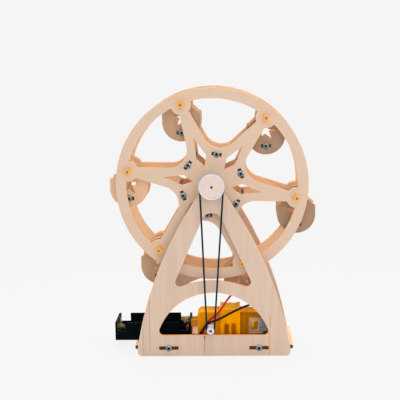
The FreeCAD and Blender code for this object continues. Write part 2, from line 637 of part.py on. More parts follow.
def drive_belt():
    """The round rubber belt round both pulleys: two straight strands and two arcs."""
    large, small = FreeCAD.Vector(0, BELT_Y, AXLE_Z), FreeCAD.Vector(MOTOR_X, BELT_Y, MOTOR_Z)
    span = large - small
    up = FreeCAD.Vector(span).normalize()
    side = FreeCAD.Vector(up.z, 0, -up.x)
    lean = math.asin((BELT_PITCH_R - DRIVE_PITCH_R) / span.Length)

    def leaves(sign):
        return side * (sign * math.cos(lean)) - up * math.sin(lean)

    big = [large + leaves(sign) * BELT_PITCH_R for sign in (-1, 1)]
    little = [small + leaves(sign) * DRIVE_PITCH_R for sign in (-1, 1)]
    path = Part.Wire([
        Part.LineSegment(little[0], big[0]).toShape(),
        Part.Arc(big[0], large + up * BELT_PITCH_R, big[1]).toShape(),
        Part.LineSegment(big[1], little[1]).toShape(),
        Part.Arc(little[1], small - up * DRIVE_PITCH_R, little[0]).toShape()])
    strands = [Part.makeCylinder(BELT_R, (big[i] - little[i]).Length, little[i], big[i] - little[i])
               for i in range(2)]
    bends = [bend(big[0], large + up * BELT_PITCH_R, big[1]),
             bend(little[1], small - up * DRIVE_PITCH_R, little[0])]
    belt = strands[0].multiFuse([strands[1]] + bends).removeSplitter()
    report("drive_belt", belt, path.Length, BELT_R)
    return belt


def bend(start, middle, end):
    """A stretch of the belt round a pulley."""
    edge = Part.Arc(start, middle, end).toShape()
    profile = Part.Wire(Part.Circle(start, edge.tangentAt(edge.FirstParameter), BELT_R).toShape())
    return Part.Wire([edge]).makePipeShell([profile], True, False)


def report(name, solid, length, radius):
    """Print a tube's volume against its section times its length."""
    ratio = solid.Volume / (math.pi * radius ** 2 * length)
    print("%s length %.1f volume ratio %.4f" % (name, length, ratio))


# ---- geared motor ----

def shell_outline(inset, y0, y1):
    """The gearbox's outside, or its inside when inset is the wall, from y0 to y1."""
    half = GEARBOX_HEIGHT / 2 - inset
    return slab([(GEARBOX_LEFT + inset, MOTOR_Z - half, GEARBOX_CORNER - inset),
                 (GEARBOX_RIGHT - inset, MOTOR_Z - half, 0), (GEARBOX_RIGHT - inset, MOTOR_Z + half, 0),
                 (GEARBOX_LEFT + inset, MOTOR_Z + half, GEARBOX_CORNER - inset)], y0, y1)


def screw_places():
    """Where the gearbox screws run along Y."""
    half = GEARBOX_HEIGHT / 2 - SCREW_INSET
    return [(x, MOTOR_Z + side * half)
            for x in (GEARBOX_LEFT + SCREW_INSET, GEARBOX_RIGHT - SCREW_INSET)
            for side in (-1, 1)]


def can_shape(radius, flat, x0, x1):
    """A round bar along the motor's axis with flats at front and back."""
    bar = rod_x(MOTOR_Y, MOTOR_Z, radius, x0, x1)
    return bar.common(box(x0, x1, MOTOR_Y - flat, MOTOR_Y + flat, MOTOR_Z - radius, MOTOR_Z + radius))


def gearbox_body():
    """Both gearbox shells in one, with the cage that holds the motor can."""
    wall = GEARBOX_WALL
    cage_half = CAGE_DEPTH / 2
    body = shell_outline(0, MOTOR_FRONT, MOTOR_BACK)
    cage = box(GEARBOX_RIGHT, CAGE_RIGHT, MOTOR_Y - cage_half, MOTOR_Y + cage_half,
               MOTOR_Z - CAGE_HEIGHT / 2, MOTOR_Z + CAGE_HEIGHT / 2)
    lug_x = GEARBOX_RIGHT + LUG_START
    lugs = box(lug_x, lug_x + LUG_LENGTH, MOTOR_Y - cage_half - LUG_DEPTH, MOTOR_Y + cage_half + LUG_DEPTH,
               MOTOR_Z - LUG_HEIGHT / 2, MOTOR_Z + LUG_HEIGHT / 2)
    body = body.fuse(cage).fuse(lugs).removeSplitter()
    body = body.cut(shell_outline(wall, MOTOR_FRONT + wall, MOTOR_BACK - wall))
    body = body.cut(can_shape(CAN_R + PRESS_PLAY, CAN_FLAT + PRESS_PLAY, GEARBOX_RIGHT, CAGE_RIGHT + OVERRUN))
    body = body.cut(rod_x(MOTOR_Y, MOTOR_Z, CAN_BOSS_R + PRESS_PLAY,
                          GEARBOX_RIGHT - 2 * wall, GEARBOX_RIGHT + OVERRUN))
    for x, z in screw_places():
        body = body.fuse(rod_y(x, z, SCREW_POST_R, MOTOR_FRONT + wall, MOTOR_BACK - wall))
        body = body.cut(rod_y(x, z, SCREW_R + THREAD_PLAY, MOTOR_BACK - SCREW_LENGTH, MOTOR_BACK + OVERRUN))
    for x in (idler_x(), crown_x()):
        body = body.fuse(rod_y(x, MOTOR_Z, GEAR_POST_R, MOTOR_FRONT + wall, MOTOR_BACK - wall))
    bearing = SHAFT_R + RUNNING_PLAY
    return body.cut(rod_y(MOTOR_X, MOTOR_Z, bearing, MOTOR_FRONT - OVERRUN, MOTOR_BACK + OVERRUN))


def gearbox_half(body, front):
    """The front or the rear shell; the rear one keeps the gear posts and the fixing tab."""
    beyond = LUG_DEPTH + OVERRUN
    depth = (MOTOR_FRONT - beyond, MOTOR_Y) if front else (MOTOR_Y, MOTOR_BACK + beyond)
    half = body.common(box(GEARBOX_LEFT - OVERRUN, CAGE_RIGHT + OVERRUN, *depth, 0, AXLE_Z))
    posts = [rod_y(x, MOTOR_Z, GEAR_POST_R, MOTOR_FRONT + GEARBOX_WALL, MOTOR_Y)
             for x in (idler_x(), crown_x())]
    for post in posts:
        half = half.cut(post) if front else half.fuse(post)
    if front:
        return half.removeSplitter()
    tab = box(GEARBOX_LEFT - TAB_LENGTH, GEARBOX_LEFT, MOTOR_Y, MOTOR_Y + TAB_THICKNESS,
              MOTOR_Z - TAB_HEIGHT / 2, MOTOR_Z + TAB_HEIGHT / 2)
    hole = rod_y(GEARBOX_LEFT - TAB_LENGTH / 2, MOTOR_Z, TAB_HOLE_R, MOTOR_Y - OVERRUN,
                 MOTOR_Y + TAB_THICKNESS + OVERRUN)
    return half.fuse(tab).cut(hole).removeSplitter()


def gearbox_screws():
    """The screws that hold the two shells together, put in from behind."""
    solids = []
    for x, z in screw_places():
        head = rod_y(x, z, SCREW_HEAD_R, MOTOR_BACK, MOTOR_BACK + SCREW_HEAD_HEIGHT)
        solids.append(head.fuse(rod_y(x, z, SCREW_R, MOTOR_BACK - SCREW_LENGTH, MOTOR_BACK)).removeSplitter())
    return group(solids)


def gear_spacing():
    """Centre distance of every large gear and the small gear that it meets."""
    return GEAR_MODULE * (WHEEL_TEETH + PINION_TEETH) / 2


def idler_x():
    """The middle gear's axis."""
    return MOTOR_X + gear_spacing()


def crown_x():
    """The crown gear's axis."""
    return MOTOR_X + 2 * gear_spacing()


def spur_gear(x, teeth, y0, y1, first_tooth):
    """A spur gear about a line along Y; first_tooth is 0, or 0.5 to start with a gap at +X."""
    pitch_r = GEAR_MODULE * teeth / 2
    root, tip = pitch_r - TOOTH_ROOT, pitch_r + TOOTH_TIP
    half = math.pi / teeth * TOOTH_SHARE
    corners = []
    for i in range(teeth):
        centre = 2 * math.pi * (i + first_tooth) / teeth
        low, high = TOOTH_ROOT_SHARE * half, TOOTH_TIP_SHARE * half
        for radius, angle in ((root, centre - low), (tip, centre - high),
                              (tip, centre + high), (root, centre + low)):
            corners.append((x + radius * math.cos(angle), MOTOR_Z + radius * math.sin(angle), 0))
    return slab(corners, y0, y1)


def crown_face():
    """The plane in which the crown gear's teeth meet the motor's pinion."""
    return MOTOR_Y - CROWN_R * ROTOR_TEETH / CROWN_TEETH


def output_gear():
    """The last gear, fixed on the output shaft."""
    y0 = MOTOR_Y - OUTPUT_GEAR_LEAD
    y1 = y0 + GEAR_WIDTH
    gear = spur_gear(MOTOR_X, WHEEL_TEETH, y0, y1, 0)
    return gear.cut(double_d(SHAFT_R + PRESS_PLAY, SHAFT_FLAT + PRESS_PLAY, y0 - OVERRUN, y1 + OVERRUN))


def idler_front():
    """Front of the middle gear's large gear."""
    return MOTOR_FRONT + GEARBOX_WALL + IDLER_SETBACK


def idler_gear():
    """The middle gear: a small gear on the output gear and a large one in front of it."""
    y0, front = MOTOR_Y - IDLER_LEAD, idler_front()
    gear = spur_gear(idler_x(), PINION_TEETH, y0, y0 + GEAR_WIDTH + IDLER_EXTRA_WIDTH, 0.5)
    gear = gear.fuse(spur_gear(idler_x(), WHEEL_TEETH, front, front + IDLER_WHEEL_WIDTH, 0))
    gear = gear.fuse(rod_y(idler_x(), MOTOR_Z, GEAR_POST_R * 2, front, y0 + GEAR_WIDTH / 2))
    return gear.cut(post_bore(idler_x())).removeSplitter()


def post_bore(x):
    """The hole through a gear that turns on a post."""
    return rod_y(x, MOTOR_Z, GEAR_POST_R + RUNNING_PLAY, MOTOR_FRONT, MOTOR_BACK)


def crown_gear():
    """The first gear: a ring of teeth that faces the motor's pinion, and a small gear in front."""
    plane = crown_face()
    front = MOTOR_FRONT + GEARBOX_WALL + CROWN_SETBACK
    disc_back = plane - TOOTH_ROOT
    ring_r = CROWN_R + CROWN_RING / 2
    gear = rod_y(crown_x(), MOTOR_Z, ring_r, disc_back - CROWN_DISC, disc_back)
    gear = gear.fuse(spur_gear(crown_x(), PINION_TEETH, front, disc_back - CROWN_DISC, 0.5))
    half = math.pi * CROWN_R / CROWN_TEETH * TOOTH_SHARE
    tooth = box(crown_x() + CROWN_R - CROWN_RING / 2, crown_x() + ring_r - CROWN_RING / 10,
                disc_back - CROWN_DISC / 5, plane + TOOTH_TIP, MOTOR_Z - half, MOTOR_Z + half)
    for i in range(CROWN_TEETH):
        gear = gear.fuse(about(tooth, crown_x(), MOTOR_Z, 360 * i / CROWN_TEETH))
    return gear.cut(post_bore(crown_x())).removeSplitter()


def motor_rotor():
    """The motor's shaft with its pinion and armature."""
    pitch_r = CROWN_R * ROTOR_TEETH / CROWN_TEETH
    tip_x = crown_x() + CROWN_R - CROWN_RING
    pinion = rod_x(MOTOR_Y, MOTOR_Z, pitch_r - TOOTH_ROOT, tip_x, tip_x + 2 * CROWN_RING)
    half = math.pi * pitch_r / ROTOR_TEETH * TOOTH_SHARE
    tooth = box(tip_x, tip_x + 2 * CROWN_RING, MOTOR_Y, MOTOR_Y + pitch_r + TOOTH_TIP,
                MOTOR_Z - half, MOTOR_Z + half)
    for i in range(ROTOR_TEETH):
        copy = tooth.copy()
        copy.rotate(FreeCAD.Vector(0, MOTOR_Y, MOTOR_Z), X_AXIS, 360 * (i + 0.5) / ROTOR_TEETH)
        pinion = pinion.fuse(copy)
    shaft_r = rotor_shaft_r()
    bore = rod_x(MOTOR_Y, MOTOR_Z, shaft_r + PRESS_PLAY, tip_x - OVERRUN, CAGE_RIGHT)
    pinion = pinion.cut(bore).removeSplitter()
    can_back = GEARBOX_RIGHT + CAN_LENGTH
    shaft = rod_x(MOTOR_Y, MOTOR_Z, shaft_r, tip_x, can_back + END_CAP_THICKNESS / 2)
    armature = rod_x(MOTOR_Y, MOTOR_Z, ARMATURE_R, GEARBOX_RIGHT + ARMATURE_FRONT_GAP,
                     can_back - ARMATURE_BACK_GAP)
    armature = armature.cut(rod_x(MOTOR_Y, MOTOR_Z, shaft_r + PRESS_PLAY, GEARBOX_RIGHT, can_back))
    return group([shaft, pinion, armature])


def rotor_shaft_r():
    """Radius of the motor's own shaft."""
    return CROWN_R * ROTOR_TEETH / CROWN_TEETH - TOOTH_ROOT - ROTOR_SHAFT_INSET


def double_d(radius, flat, y0, y1):
    """A round bar along Y at the output shaft, with two flats."""
    bar = rod_y(MOTOR_X, MOTOR_Z, radius, y0, y1)
    return bar.common(box(MOTOR_X - flat, MOTOR_X + flat, y0, y1, MOTOR_Z - radius, MOTOR_Z + radius))


def output_shaft():
    """The output shaft: round in the shells, necked beside the middle gear, flat-sided elsewhere."""
    front, back = shaft_end(), MOTOR_BACK + SHAFT_LENGTH
    shaft = double_d(SHAFT_R, SHAFT_FLAT, front, back)
    over = BEARING_OVERHANG
    for y0, y1 in ((front, front + SHAFT_R / 2), (MOTOR_FRONT - over, MOTOR_FRONT + GEARBOX_WALL + over),
                   (MOTOR_BACK - GEARBOX_WALL - over, MOTOR_BACK + over)):
        shaft = shaft.fuse(rod_y(MOTOR_X, MOTOR_Z, SHAFT_R, y0, y1))
    neck = tube_y(MOTOR_X, MOTOR_Z, SHAFT_R + OVERRUN, SHAFT_NECK_R, idler_front() - SHAFT_NECK_PLAY,
                  idler_front() + IDLER_WHEEL_WIDTH + SHAFT_NECK_PLAY)
    bore = rod_y(MOTOR_X, MOTOR_Z, SHAFT_BORE_R, front - OVERRUN, front + GRUB_SCREW_LENGTH + OVERRUN)
    return shaft.cut(neck).cut(bore).removeSplitter()


def motor_can():
    """The motor's steel can, open at the end that the end cap closes."""
    front, back = GEARBOX_RIGHT, GEARBOX_RIGHT + CAN_LENGTH
    can = can_shape(CAN_R, CAN_FLAT, front, back)
    can = can.fuse(rod_x(MOTOR_Y, MOTOR_Z, CAN_BOSS_R, front - GEARBOX_WALL, front))
    can = can.cut(can_shape(CAN_R - CAN_WALL, CAN_FLAT - CAN_WALL, front + CAN_WALL, back + OVERRUN))
    bore = rod_x(MOTOR_Y, MOTOR_Z, rotor_shaft_r() + RUNNING_PLAY, front - GEARBOX_WALL - OVERRUN,
                 front + CAN_WALL + OVERRUN)
    return can.cut(bore).removeSplitter()


def motor_end_cap():
    """The plastic cap at the back of the can, and its two terminals."""
    start = GEARBOX_RIGHT + CAN_LENGTH
    end = start + END_CAP_THICKNESS
    cap = can_shape(CAN_R, CAN_FLAT, start, end)
    cap = cap.cut(rod_x(MOTOR_Y, MOTOR_Z, rotor_shaft_r() + RUNNING_PLAY, start - OVERRUN,
                        end - END_CAP_SKIN))
    solids = [cap]
    for side in (-1, 1):
        z = MOTOR_Z + side * TERMINAL_DROP
        solids.append(box(end, end + TERMINAL_LENGTH, MOTOR_Y - TERMINAL_THICKNESS / 2,
                          MOTOR_Y + TERMINAL_THICKNESS / 2, z - TERMINAL_WIDTH / 2, z + TERMINAL_WIDTH / 2))
    return group(solids)


def motor_strap():
    """The clear strap that hooks on the cage's lugs and passes behind the end cap."""
    inner = CAGE_DEPTH / 2 + PRESS_PLAY
    outer = inner + STRAP_THICKNESS
    start = GEARBOX_RIGHT + STRAP_START
    end = GEARBOX_RIGHT + CAN_LENGTH + END_CAP_THICKNESS + PRESS_PLAY

    def loop(half_depth, reach, corner, half_width):
        flat = slab([(start, -half_depth, 0), (reach, -half_depth, corner), (reach, half_depth, corner),
                     (start, half_depth, 0)], -half_width, half_width)
        flat.rotate(FreeCAD.Vector(0, 0, 0), X_AXIS, 90)
        return moved(flat, y=MOTOR_Y, z=MOTOR_Z)

    hollow = loop(inner, end, STRAP_CORNER - STRAP_THICKNESS, STRAP_PAD_WIDTH)
    band = loop(outer, end + STRAP_THICKNESS, STRAP_CORNER, STRAP_WIDTH / 2).cut(hollow)
    pads = loop(outer, end + STRAP_THICKNESS, STRAP_CORNER, STRAP_PAD_WIDTH / 2).cut(hollow)
    pads = pads.common(box(start, start + STRAP_PAD_LENGTH, MOTOR_FRONT - 5, MOTOR_BACK + 5, 0, AXLE_Z))
    window_x = start + STRAP_WINDOW_INSET
    windows = box(window_x, window_x + STRAP_WINDOW_LENGTH, MOTOR_FRONT - 5, MOTOR_BACK + 5,
                  MOTOR_Z - STRAP_WINDOW_HEIGHT / 2, MOTOR_Z + STRAP_WINDOW_HEIGHT / 2)
    return band.fuse(pads).cut(windows).removeSplitter()


def motor_bracket():
    """The sleeve that holds the gearbox down on the base plate, with a ridge along each end."""
    x0 = GEARBOX_LEFT + BRACKET_START
    x1 = x0 + BRACKET_LENGTH
    front, back = MOTOR_FRONT - BRACKET_WALL, MOTOR_BACK + BRACKET_WALL
    low = BRACKET_RIDGE_HEIGHT
    body = box(x0, x1, front + low, back - low, BASE_TOP, BRACKET_TOP - low)
    for start in (x0, x1 - BRACKET_RIDGE_WIDTH):
        ridge = box(start, start + BRACKET_RIDGE_WIDTH, front, back, BASE_TOP, BRACKET_TOP)
        tops = [edge for edge in ridge.Edges if abs(edge.CenterOfMass.z - BRACKET_TOP) < 1e-6
                and abs(edge.tangentAt(edge.FirstParameter).x) > 0.99]
        body = body.fuse(ridge.makeChamfer(BRACKET_CHAMFER, tops))
    middle = (x0 + x1) / 2
    pocket_r = BRACKET_POCKET_WIDTH / 2
    for side in (-1, 1):
        x = middle + side * BRACKET_POCKET_SPACING / 2
        y0, y1 = front + low - OVERRUN, front + low + BRACKET_POCKET_DEPTH
        arch = BASE_TOP + BRACKET_POCKET_TOP - pocket_r
        body = body.cut(box(x - pocket_r, x + pocket_r, y0, y1, BASE_TOP + BRACKET_FLOOR, arch))
        body = body.cut(rod_y(x, arch, pocket_r, y0, y1))
        body = body.cut(box(x - pocket_r, x + pocket_r, y0, back + OVERRUN,
                            BRACKET_TOP - low - BRACKET_POCKET_DEPTH / 2, BRACKET_TOP + OVERRUN))
    gap = BRACKET_PLAY
    half = GEARBOX_HEIGHT / 2
    body = body.cut(box(x0 - OVERRUN, x1 + OVERRUN, MOTOR_FRONT - gap, MOTOR_BACK + gap,
                        MOTOR_Z - half, MOTOR_Z + half + gap))
    for x, y in bracket_bolt_places():
        body = body.cut(rod_z(x, y, BOLT_R + THREAD_PLAY, 0, MOTOR_Z))
    return body.removeSplitter()


# ---- battery holder ----

def cell_bays():
    """Middle lines of the two bays, as distances along Y."""
    y = -FRAME_BACK + HOLDER_SETBACK + HOLDER_DEPTH / 2
    half = HOLDER_DEPTH / 4 - BAY_SHIFT
    return [y - half, y + half]


def battery_holder():
    """The open holder: two round-bottomed bays, notched side walls, full-height end walls."""
    left, right = HOLDER_RIGHT - HOLDER_LENGTH, HOLDER_RIGHT
    front = -FRAME_BACK + HOLDER_SETBACK
    back = front + HOLDER_DEPTH
    top = BASE_TOP + HOLDER_HEIGHT
    body = box(left, right, front, back, BASE_TOP, top)
    inner = (left + HOLDER_END_WALL, right - HOLDER_END_WALL)
    axis_z = BASE_TOP + HOLDER_FLOOR + CELL_BAY_R
    bays = cell_bays()
    for y in bays:
        body = body.cut(rod_x(y, axis_z, CELL_BAY_R, *inner))
        body = body.cut(box(inner[0], inner[1], y - CELL_BAY_R, y + CELL_BAY_R, axis_z, top + OVERRUN))
        for x in (inner[0], inner[1] - NOTCH_LENGTH):
            body = body.cut(box(x, x + NOTCH_LENGTH, y - CELL_BAY_R, y + CELL_BAY_R,
                                BASE_TOP + HOLDER_FLOOR, top + OVERRUN))
    body = body.cut(box(inner[0], inner[1], bays[0], bays[1], BASE_TOP + MID_RIB_HEIGHT, top + OVERRUN))
    for x in (inner[0], inner[1] - NOTCH_LENGTH):
        body = body.cut(box(x, x + NOTCH_LENGTH, front - OVERRUN, back + OVERRUN,
                            BASE_TOP + NOTCH_SILL, top + OVERRUN))
    for x, y in holder_bolt_places():
        body = body.cut(rod_z(x, y, BOLT_R + THREAD_PLAY, 0, axis_z))
        body = body.cut(rod_z(x, y, BOLT_HEAD_R + PRESS_PLAY, BASE_TOP + HOLDER_FLOOR, axis_z))
    return body


def battery_contacts():
    """A spring and a plate in each bay, at opposite ends, against the end walls."""
    left = HOLDER_RIGHT - HOLDER_LENGTH + HOLDER_END_WALL
    right = HOLDER_RIGHT - HOLDER_END_WALL
    low = BASE_TOP + HOLDER_FLOOR + CONTACT_LIFT
    axis_z = BASE_TOP + HOLDER_FLOOR + CELL_BAY_R
    solids = []
    for i, y in enumerate(cell_bays()):
        spring_left = i == 0
        for at_left in (True, False):
            x0 = left if at_left else right - CONTACT_THICKNESS
            plate = box(x0, x0 + CONTACT_THICKNESS, y - CONTACT_WIDTH / 2, y + CONTACT_WIDTH / 2,
                        low, low + CONTACT_HEIGHT)
            if at_left == spring_left:
                direction = X_AXIS if at_left else X_AXIS * -1
                base = FreeCAD.Vector(x0 + CONTACT_THICKNESS if at_left else x0, y, axis_z)
                coil = Part.makeCone(SPRING_R_WIDE, SPRING_R_TIP, SPRING_LENGTH, base, direction)
                bore = Part.makeCone(SPRING_R_WIDE - SPRING_WALL, SPRING_R_TIP - SPRING_WALL, SPRING_LENGTH,
                                     base, direction)
                plate = plate.fuse(coil.cut(bore))
            solids.append(plate)
    return group(solids)


# ---- leads ----

def lead(name, route):
    """A wire: straight runs joined by arcs that are as large as the runs on both sides allow."""
    points = [FreeCAD.Vector(*point) for point in route]
    edges, radii, start = [], [], points[0]
    for before, here, after in zip(points, points[1:], points[2:]):
        back, ahead = before - here, after - here
        run = min(back.Length, ahead.Length)
        half_turn = (math.pi - back.getAngle(ahead)) / 2
        reach = BEND_REACH * run
        radius = reach / math.tan(half_turn)
        into, out = here + back.normalize() * reach, here + ahead.normalize() * reach
        bisector = (back + ahead).normalize()
        middle = here + bisector * (radius / math.cos(half_turn) - radius)
        edges += [Part.LineSegment(start, into).toShape(), Part.Arc(into, middle, out).toShape()]
        radii.append(radius)
        start = out
    edges.append(Part.LineSegment(start, points[-1]).toShape())
    path = Part.Wire(edges)
    profile = Part.Wire(Part.Circle(points[0], points[1] - points[0], LEAD_R).toShape())
    tube = path.makePipeShell([profile], True, False)
    report(name, tube, path.Length, LEAD_R)
    print("  radii " + " ".join("%.1f" % radius for radius in radii))
    return tube


# ---- cabins ----

def star(x, z, y0, y1):
    """A five-pointed star, one point up."""
    corners = []
    for i in range(10):
        radius = STAR_R if i % 2 == 0 else STAR_R * STAR_WAIST
        angle = math.radians(90 + 36 * i)
        corners.append((x + radius * math.cos(angle), z + radius * math.sin(angle), 0))
    return slab(corners, y0, y1)


def cabin_panel():
    """The front panel of a cabin whose shaft is at the origin."""
    front, back = -CABIN_DEPTH / 2, -CABIN_DEPTH / 2 + PLY
    half = CABIN_WIDTH / 2
    bend = -CABIN_TOP - CABIN_SIDE
    panel = slab([(-half, bend, 0), (half, bend, 0), (half, -CABIN_TOP, CABIN_CORNER),
                  (-half, -CABIN_TOP, CABIN_CORNER)], front, back)
    for x, z, radius in ((0, bend, half), (0, 0, CABIN_EAR_R)):
        panel = panel.fuse(rod_y(x, z, radius, front, back))
    panel = panel.removeSplitter()
    panel = panel.cut(star(0, -STAR_DROP, front - OVERRUN, back + OVERRUN))
    panel = panel.cut(rod_y(0, 0, ROD_R + RUNNING_PLAY, front - OVERRUN, back + OVERRUN))
    return slotted(panel, 0, -SEAT_DROP, BRACE_SLOT, CABIN_DEPTH / 2)


def cabin_seat():
    """The plate that joins a cabin's two panels."""
    return tabbed(SEAT_WIDTH, BRACE_SLOT, -SEAT_DROP, CABIN_DEPTH / 2 - PLY)


def cabin_bolts():
    """Bolts and nuts of one cabin's seat."""
    pair = joint_hardware(0, CABIN_DEPTH / 2, -SEAT_DROP)
    return group(pair + [mirrored_y(solid) for solid in pair])


def cabin_shaft():
    """The rod that a cabin hangs on, and the caps pushed on its ends outside the wheel."""
    cap_start = WHEEL_FACE + CAP_GAP
    cap_end = cap_start + CAP_LENGTH
    half = cap_end - ROD_RECESS
    rod = rod_y(0, 0, ROD_R, -half, half)
    cap = tube_y(0, 0, CAP_R, ROD_R + PRESS_PLAY, -cap_end, -cap_start)
    return group([rod, cap, mirrored_y(cap)])


def cabin_nodes():
    """Every cabin's nodes, hung at their places on the wheel."""
    front = cabin_panel()
    pieces = {"front_panel": front, "rear_panel": mirrored_y(front), "seat": cabin_seat(),
              "bolts": cabin_bolts(), "shaft": cabin_shaft()}
    nodes = {}
    for i, angle in enumerate(shaft_angles()):
        x, z = polar(SHAFT_CIRCLE_R, angle)
        for name, shape in pieces.items():
            nodes["cabin_%d_%s" % (i + 1, name)] = moved(shape, x=x, z=z)
    return nodes


def all_nodes():
    """Every node of the ferris wheel, by name."""
    frame, plate, body = a_frame(), wheel_plate(), gearbox_body()
    nodes = {
        "base_plate": base_plate(), "front_frame": frame, "rear_frame": mirrored_y(frame),
        "base_fasteners": base_fasteners(),
        "wheel_front_plate": plate, "wheel_rear_plate": mirrored_y(plate),
        "wheel_braces": wheel_braces(), "wheel_bolts": wheel_bolts(),
        "main_axle": main_axle(), "axle_sleeves": axle_sleeves(), "wheel_pulley": wheel_pulley(),
        "drive_belt": drive_belt(), "drive_pulley": drive_pulley(), "pulley_screw": pulley_screw(),
        "gearbox_front_shell": gearbox_half(body, True), "gearbox_rear_shell": gearbox_half(body, False),
        "gearbox_screws": gearbox_screws(), "output_shaft": output_shaft(), "output_gear": output_gear(),
        "idler_gear": idler_gear(), "crown_gear": crown_gear(), "motor_rotor": motor_rotor(),
        "motor_can": motor_can(), "motor_end_cap": motor_end_cap(), "motor_strap": motor_strap(),
        "motor_bracket": motor_bracket(),
        "battery_holder": battery_holder(), "battery_contacts": battery_contacts(),
        "red_lead": lead("red_lead", RED_ROUTE), "black_lead": lead("black_lead", BLACK_ROUTE)}
    nodes.update(cabin_nodes())
    return nodes


def main():
    """Write every node to its own file."""
    os.makedirs("parts", exist_ok=True)
    nodes = all_nodes()
    for name, shape in nodes.items():
        if not shape.isValid():
            print("not valid: " + name)
        shape.exportStep("parts/%s.step" % name)
    print("%d nodes, %d solids" % (len(nodes), sum(len(shape.Solids) for shape in nodes.values())))


main()
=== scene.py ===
"""Desk-top ferris wheel kit of laser-cut plywood, turned by a geared hobby motor through a belt.

Metres, +Z up. The side with the belt faces -Y. The origin is on the floor below the axle, half way
between the two A-frames. Every piece rides on the moving body that carries it.
"""

from __future__ import annotations

import json
import logging
import math
from dataclasses import dataclass, field
from enum import Enum
from typing import Any, Callable, Iterable, Mapping, Sequence

import bmesh
import bpy
from mathutils import Matrix, Vector

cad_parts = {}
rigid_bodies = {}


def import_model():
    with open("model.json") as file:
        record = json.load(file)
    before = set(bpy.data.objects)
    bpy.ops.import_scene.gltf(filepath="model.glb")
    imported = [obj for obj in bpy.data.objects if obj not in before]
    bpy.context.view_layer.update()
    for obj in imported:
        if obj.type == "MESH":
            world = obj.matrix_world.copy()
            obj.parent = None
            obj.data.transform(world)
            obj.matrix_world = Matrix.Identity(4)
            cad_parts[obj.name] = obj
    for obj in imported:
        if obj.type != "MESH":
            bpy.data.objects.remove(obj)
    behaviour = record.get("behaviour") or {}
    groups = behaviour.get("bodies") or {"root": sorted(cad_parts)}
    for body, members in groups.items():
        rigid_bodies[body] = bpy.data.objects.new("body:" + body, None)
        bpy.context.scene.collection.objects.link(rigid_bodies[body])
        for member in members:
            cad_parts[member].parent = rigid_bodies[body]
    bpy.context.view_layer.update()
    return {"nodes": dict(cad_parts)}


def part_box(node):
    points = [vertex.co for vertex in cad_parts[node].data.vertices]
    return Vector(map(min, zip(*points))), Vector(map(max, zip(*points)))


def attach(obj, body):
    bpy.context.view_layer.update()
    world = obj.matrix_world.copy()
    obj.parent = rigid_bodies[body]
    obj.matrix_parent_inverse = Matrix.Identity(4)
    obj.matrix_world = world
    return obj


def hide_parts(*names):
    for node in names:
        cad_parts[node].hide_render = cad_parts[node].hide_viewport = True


Tree, Node, Piece, Mesh = bpy.types.NodeTree, bpy.types.Node, bpy.types.Object, bpy.types.Mesh
Shape = bmesh.types.BMesh
Nodes = Mapping[str, Piece]
Place = tuple[float, float, float]
Profile = Sequence[tuple[float, float]]

LOG = logging.getLogger("ferris_wheel")
MM = 0.001
SMOOTH_DEG = 32.0
FRONT_TO_BACK = Vector((0, 1, 0))
UP = Vector((0, 0, 1))
RIGHT = Vector((1, 0, 0))

MATH, MIX, NOISE = "ShaderNodeMath", "ShaderNodeMix", "ShaderNodeTexNoise"
RAMP, RANGE = "ShaderNodeValToRGB", "ShaderNodeMapRange"
BEVEL, BUMP = "ShaderNodeBevel", "ShaderNodeBump"
BLACK, WHITE = "#000000", "#FFFFFF"


# ---------------------------------------------------------------- colour and nodes

def linear(code: str) -> tuple[float, float, float, float]:
    """Turn an sRGB hex colour into linear RGBA.

    Args:
        code: the colour as "#RRGGBB".

    Returns:
        Red, green, blue and an alpha of 1, in linear light.
    """
    parts = [int(code[i:i + 2], 16) / 255 for i in (1, 3, 5)]
    red, green, blue = [v / 12.92 if v <= 0.04045 else ((v + 0.055) / 1.055) ** 2.4 for v in parts]
    return red, green, blue, 1.0


def plug(tree: Tree, node: Node, sockets: Mapping[Any, Any]) -> None:
    """Set or link a node's inputs.

    Args:
        tree: the node tree.
        node: the node.
        sockets: for each input's name or number, a value, a hex colour, an output socket, or
            a node, whose first live output is linked.
    """
    for key, value in sockets.items():
        if isinstance(value, Node):
            value = next(output for output in value.outputs if output.enabled)
        if isinstance(value, bpy.types.NodeSocket):
            tree.links.new(value, node.inputs[key])
        elif isinstance(value, str) and value.startswith("#"):
            node.inputs[key].default_value = linear(value)
        else:
            node.inputs[key].default_value = value


def add(tree: Tree, kind: str, sockets: Mapping[Any, Any] | None = None,
        stops: Sequence[tuple[float, str]] = (), **settings: Any) -> Node:
    """Add a node with its settings and links.

    Args:
        tree: the node tree.
        kind: the node's type.
        sockets: what its inputs get, as plug takes it.
        stops: a colour ramp's places and hex colours, in order.
        settings: the node's own properties.

    Returns:
        The new node.
    """
    node = tree.nodes.new(kind)
    for name, value in settings.items():
        setattr(node, name, value)
    plug(tree, node, sockets or {})
    for number, (place, code) in enumerate(stops):
        elements = node.color_ramp.elements
        element = elements[number] if number < 2 else elements.new(1.0)
        element.position, element.color = place, linear(code)
    return node


def emptied(owner: bpy.types.Material | bpy.types.World) -> Tree:
    """Empty a node tree.

    Args:
        owner: the material or world that has it.

    Returns:
        The tree.
    """
    owner.use_nodes = True
    owner.node_tree.nodes.clear()
    return owner.node_tree


# ---------------------------------------------------------------- finishes

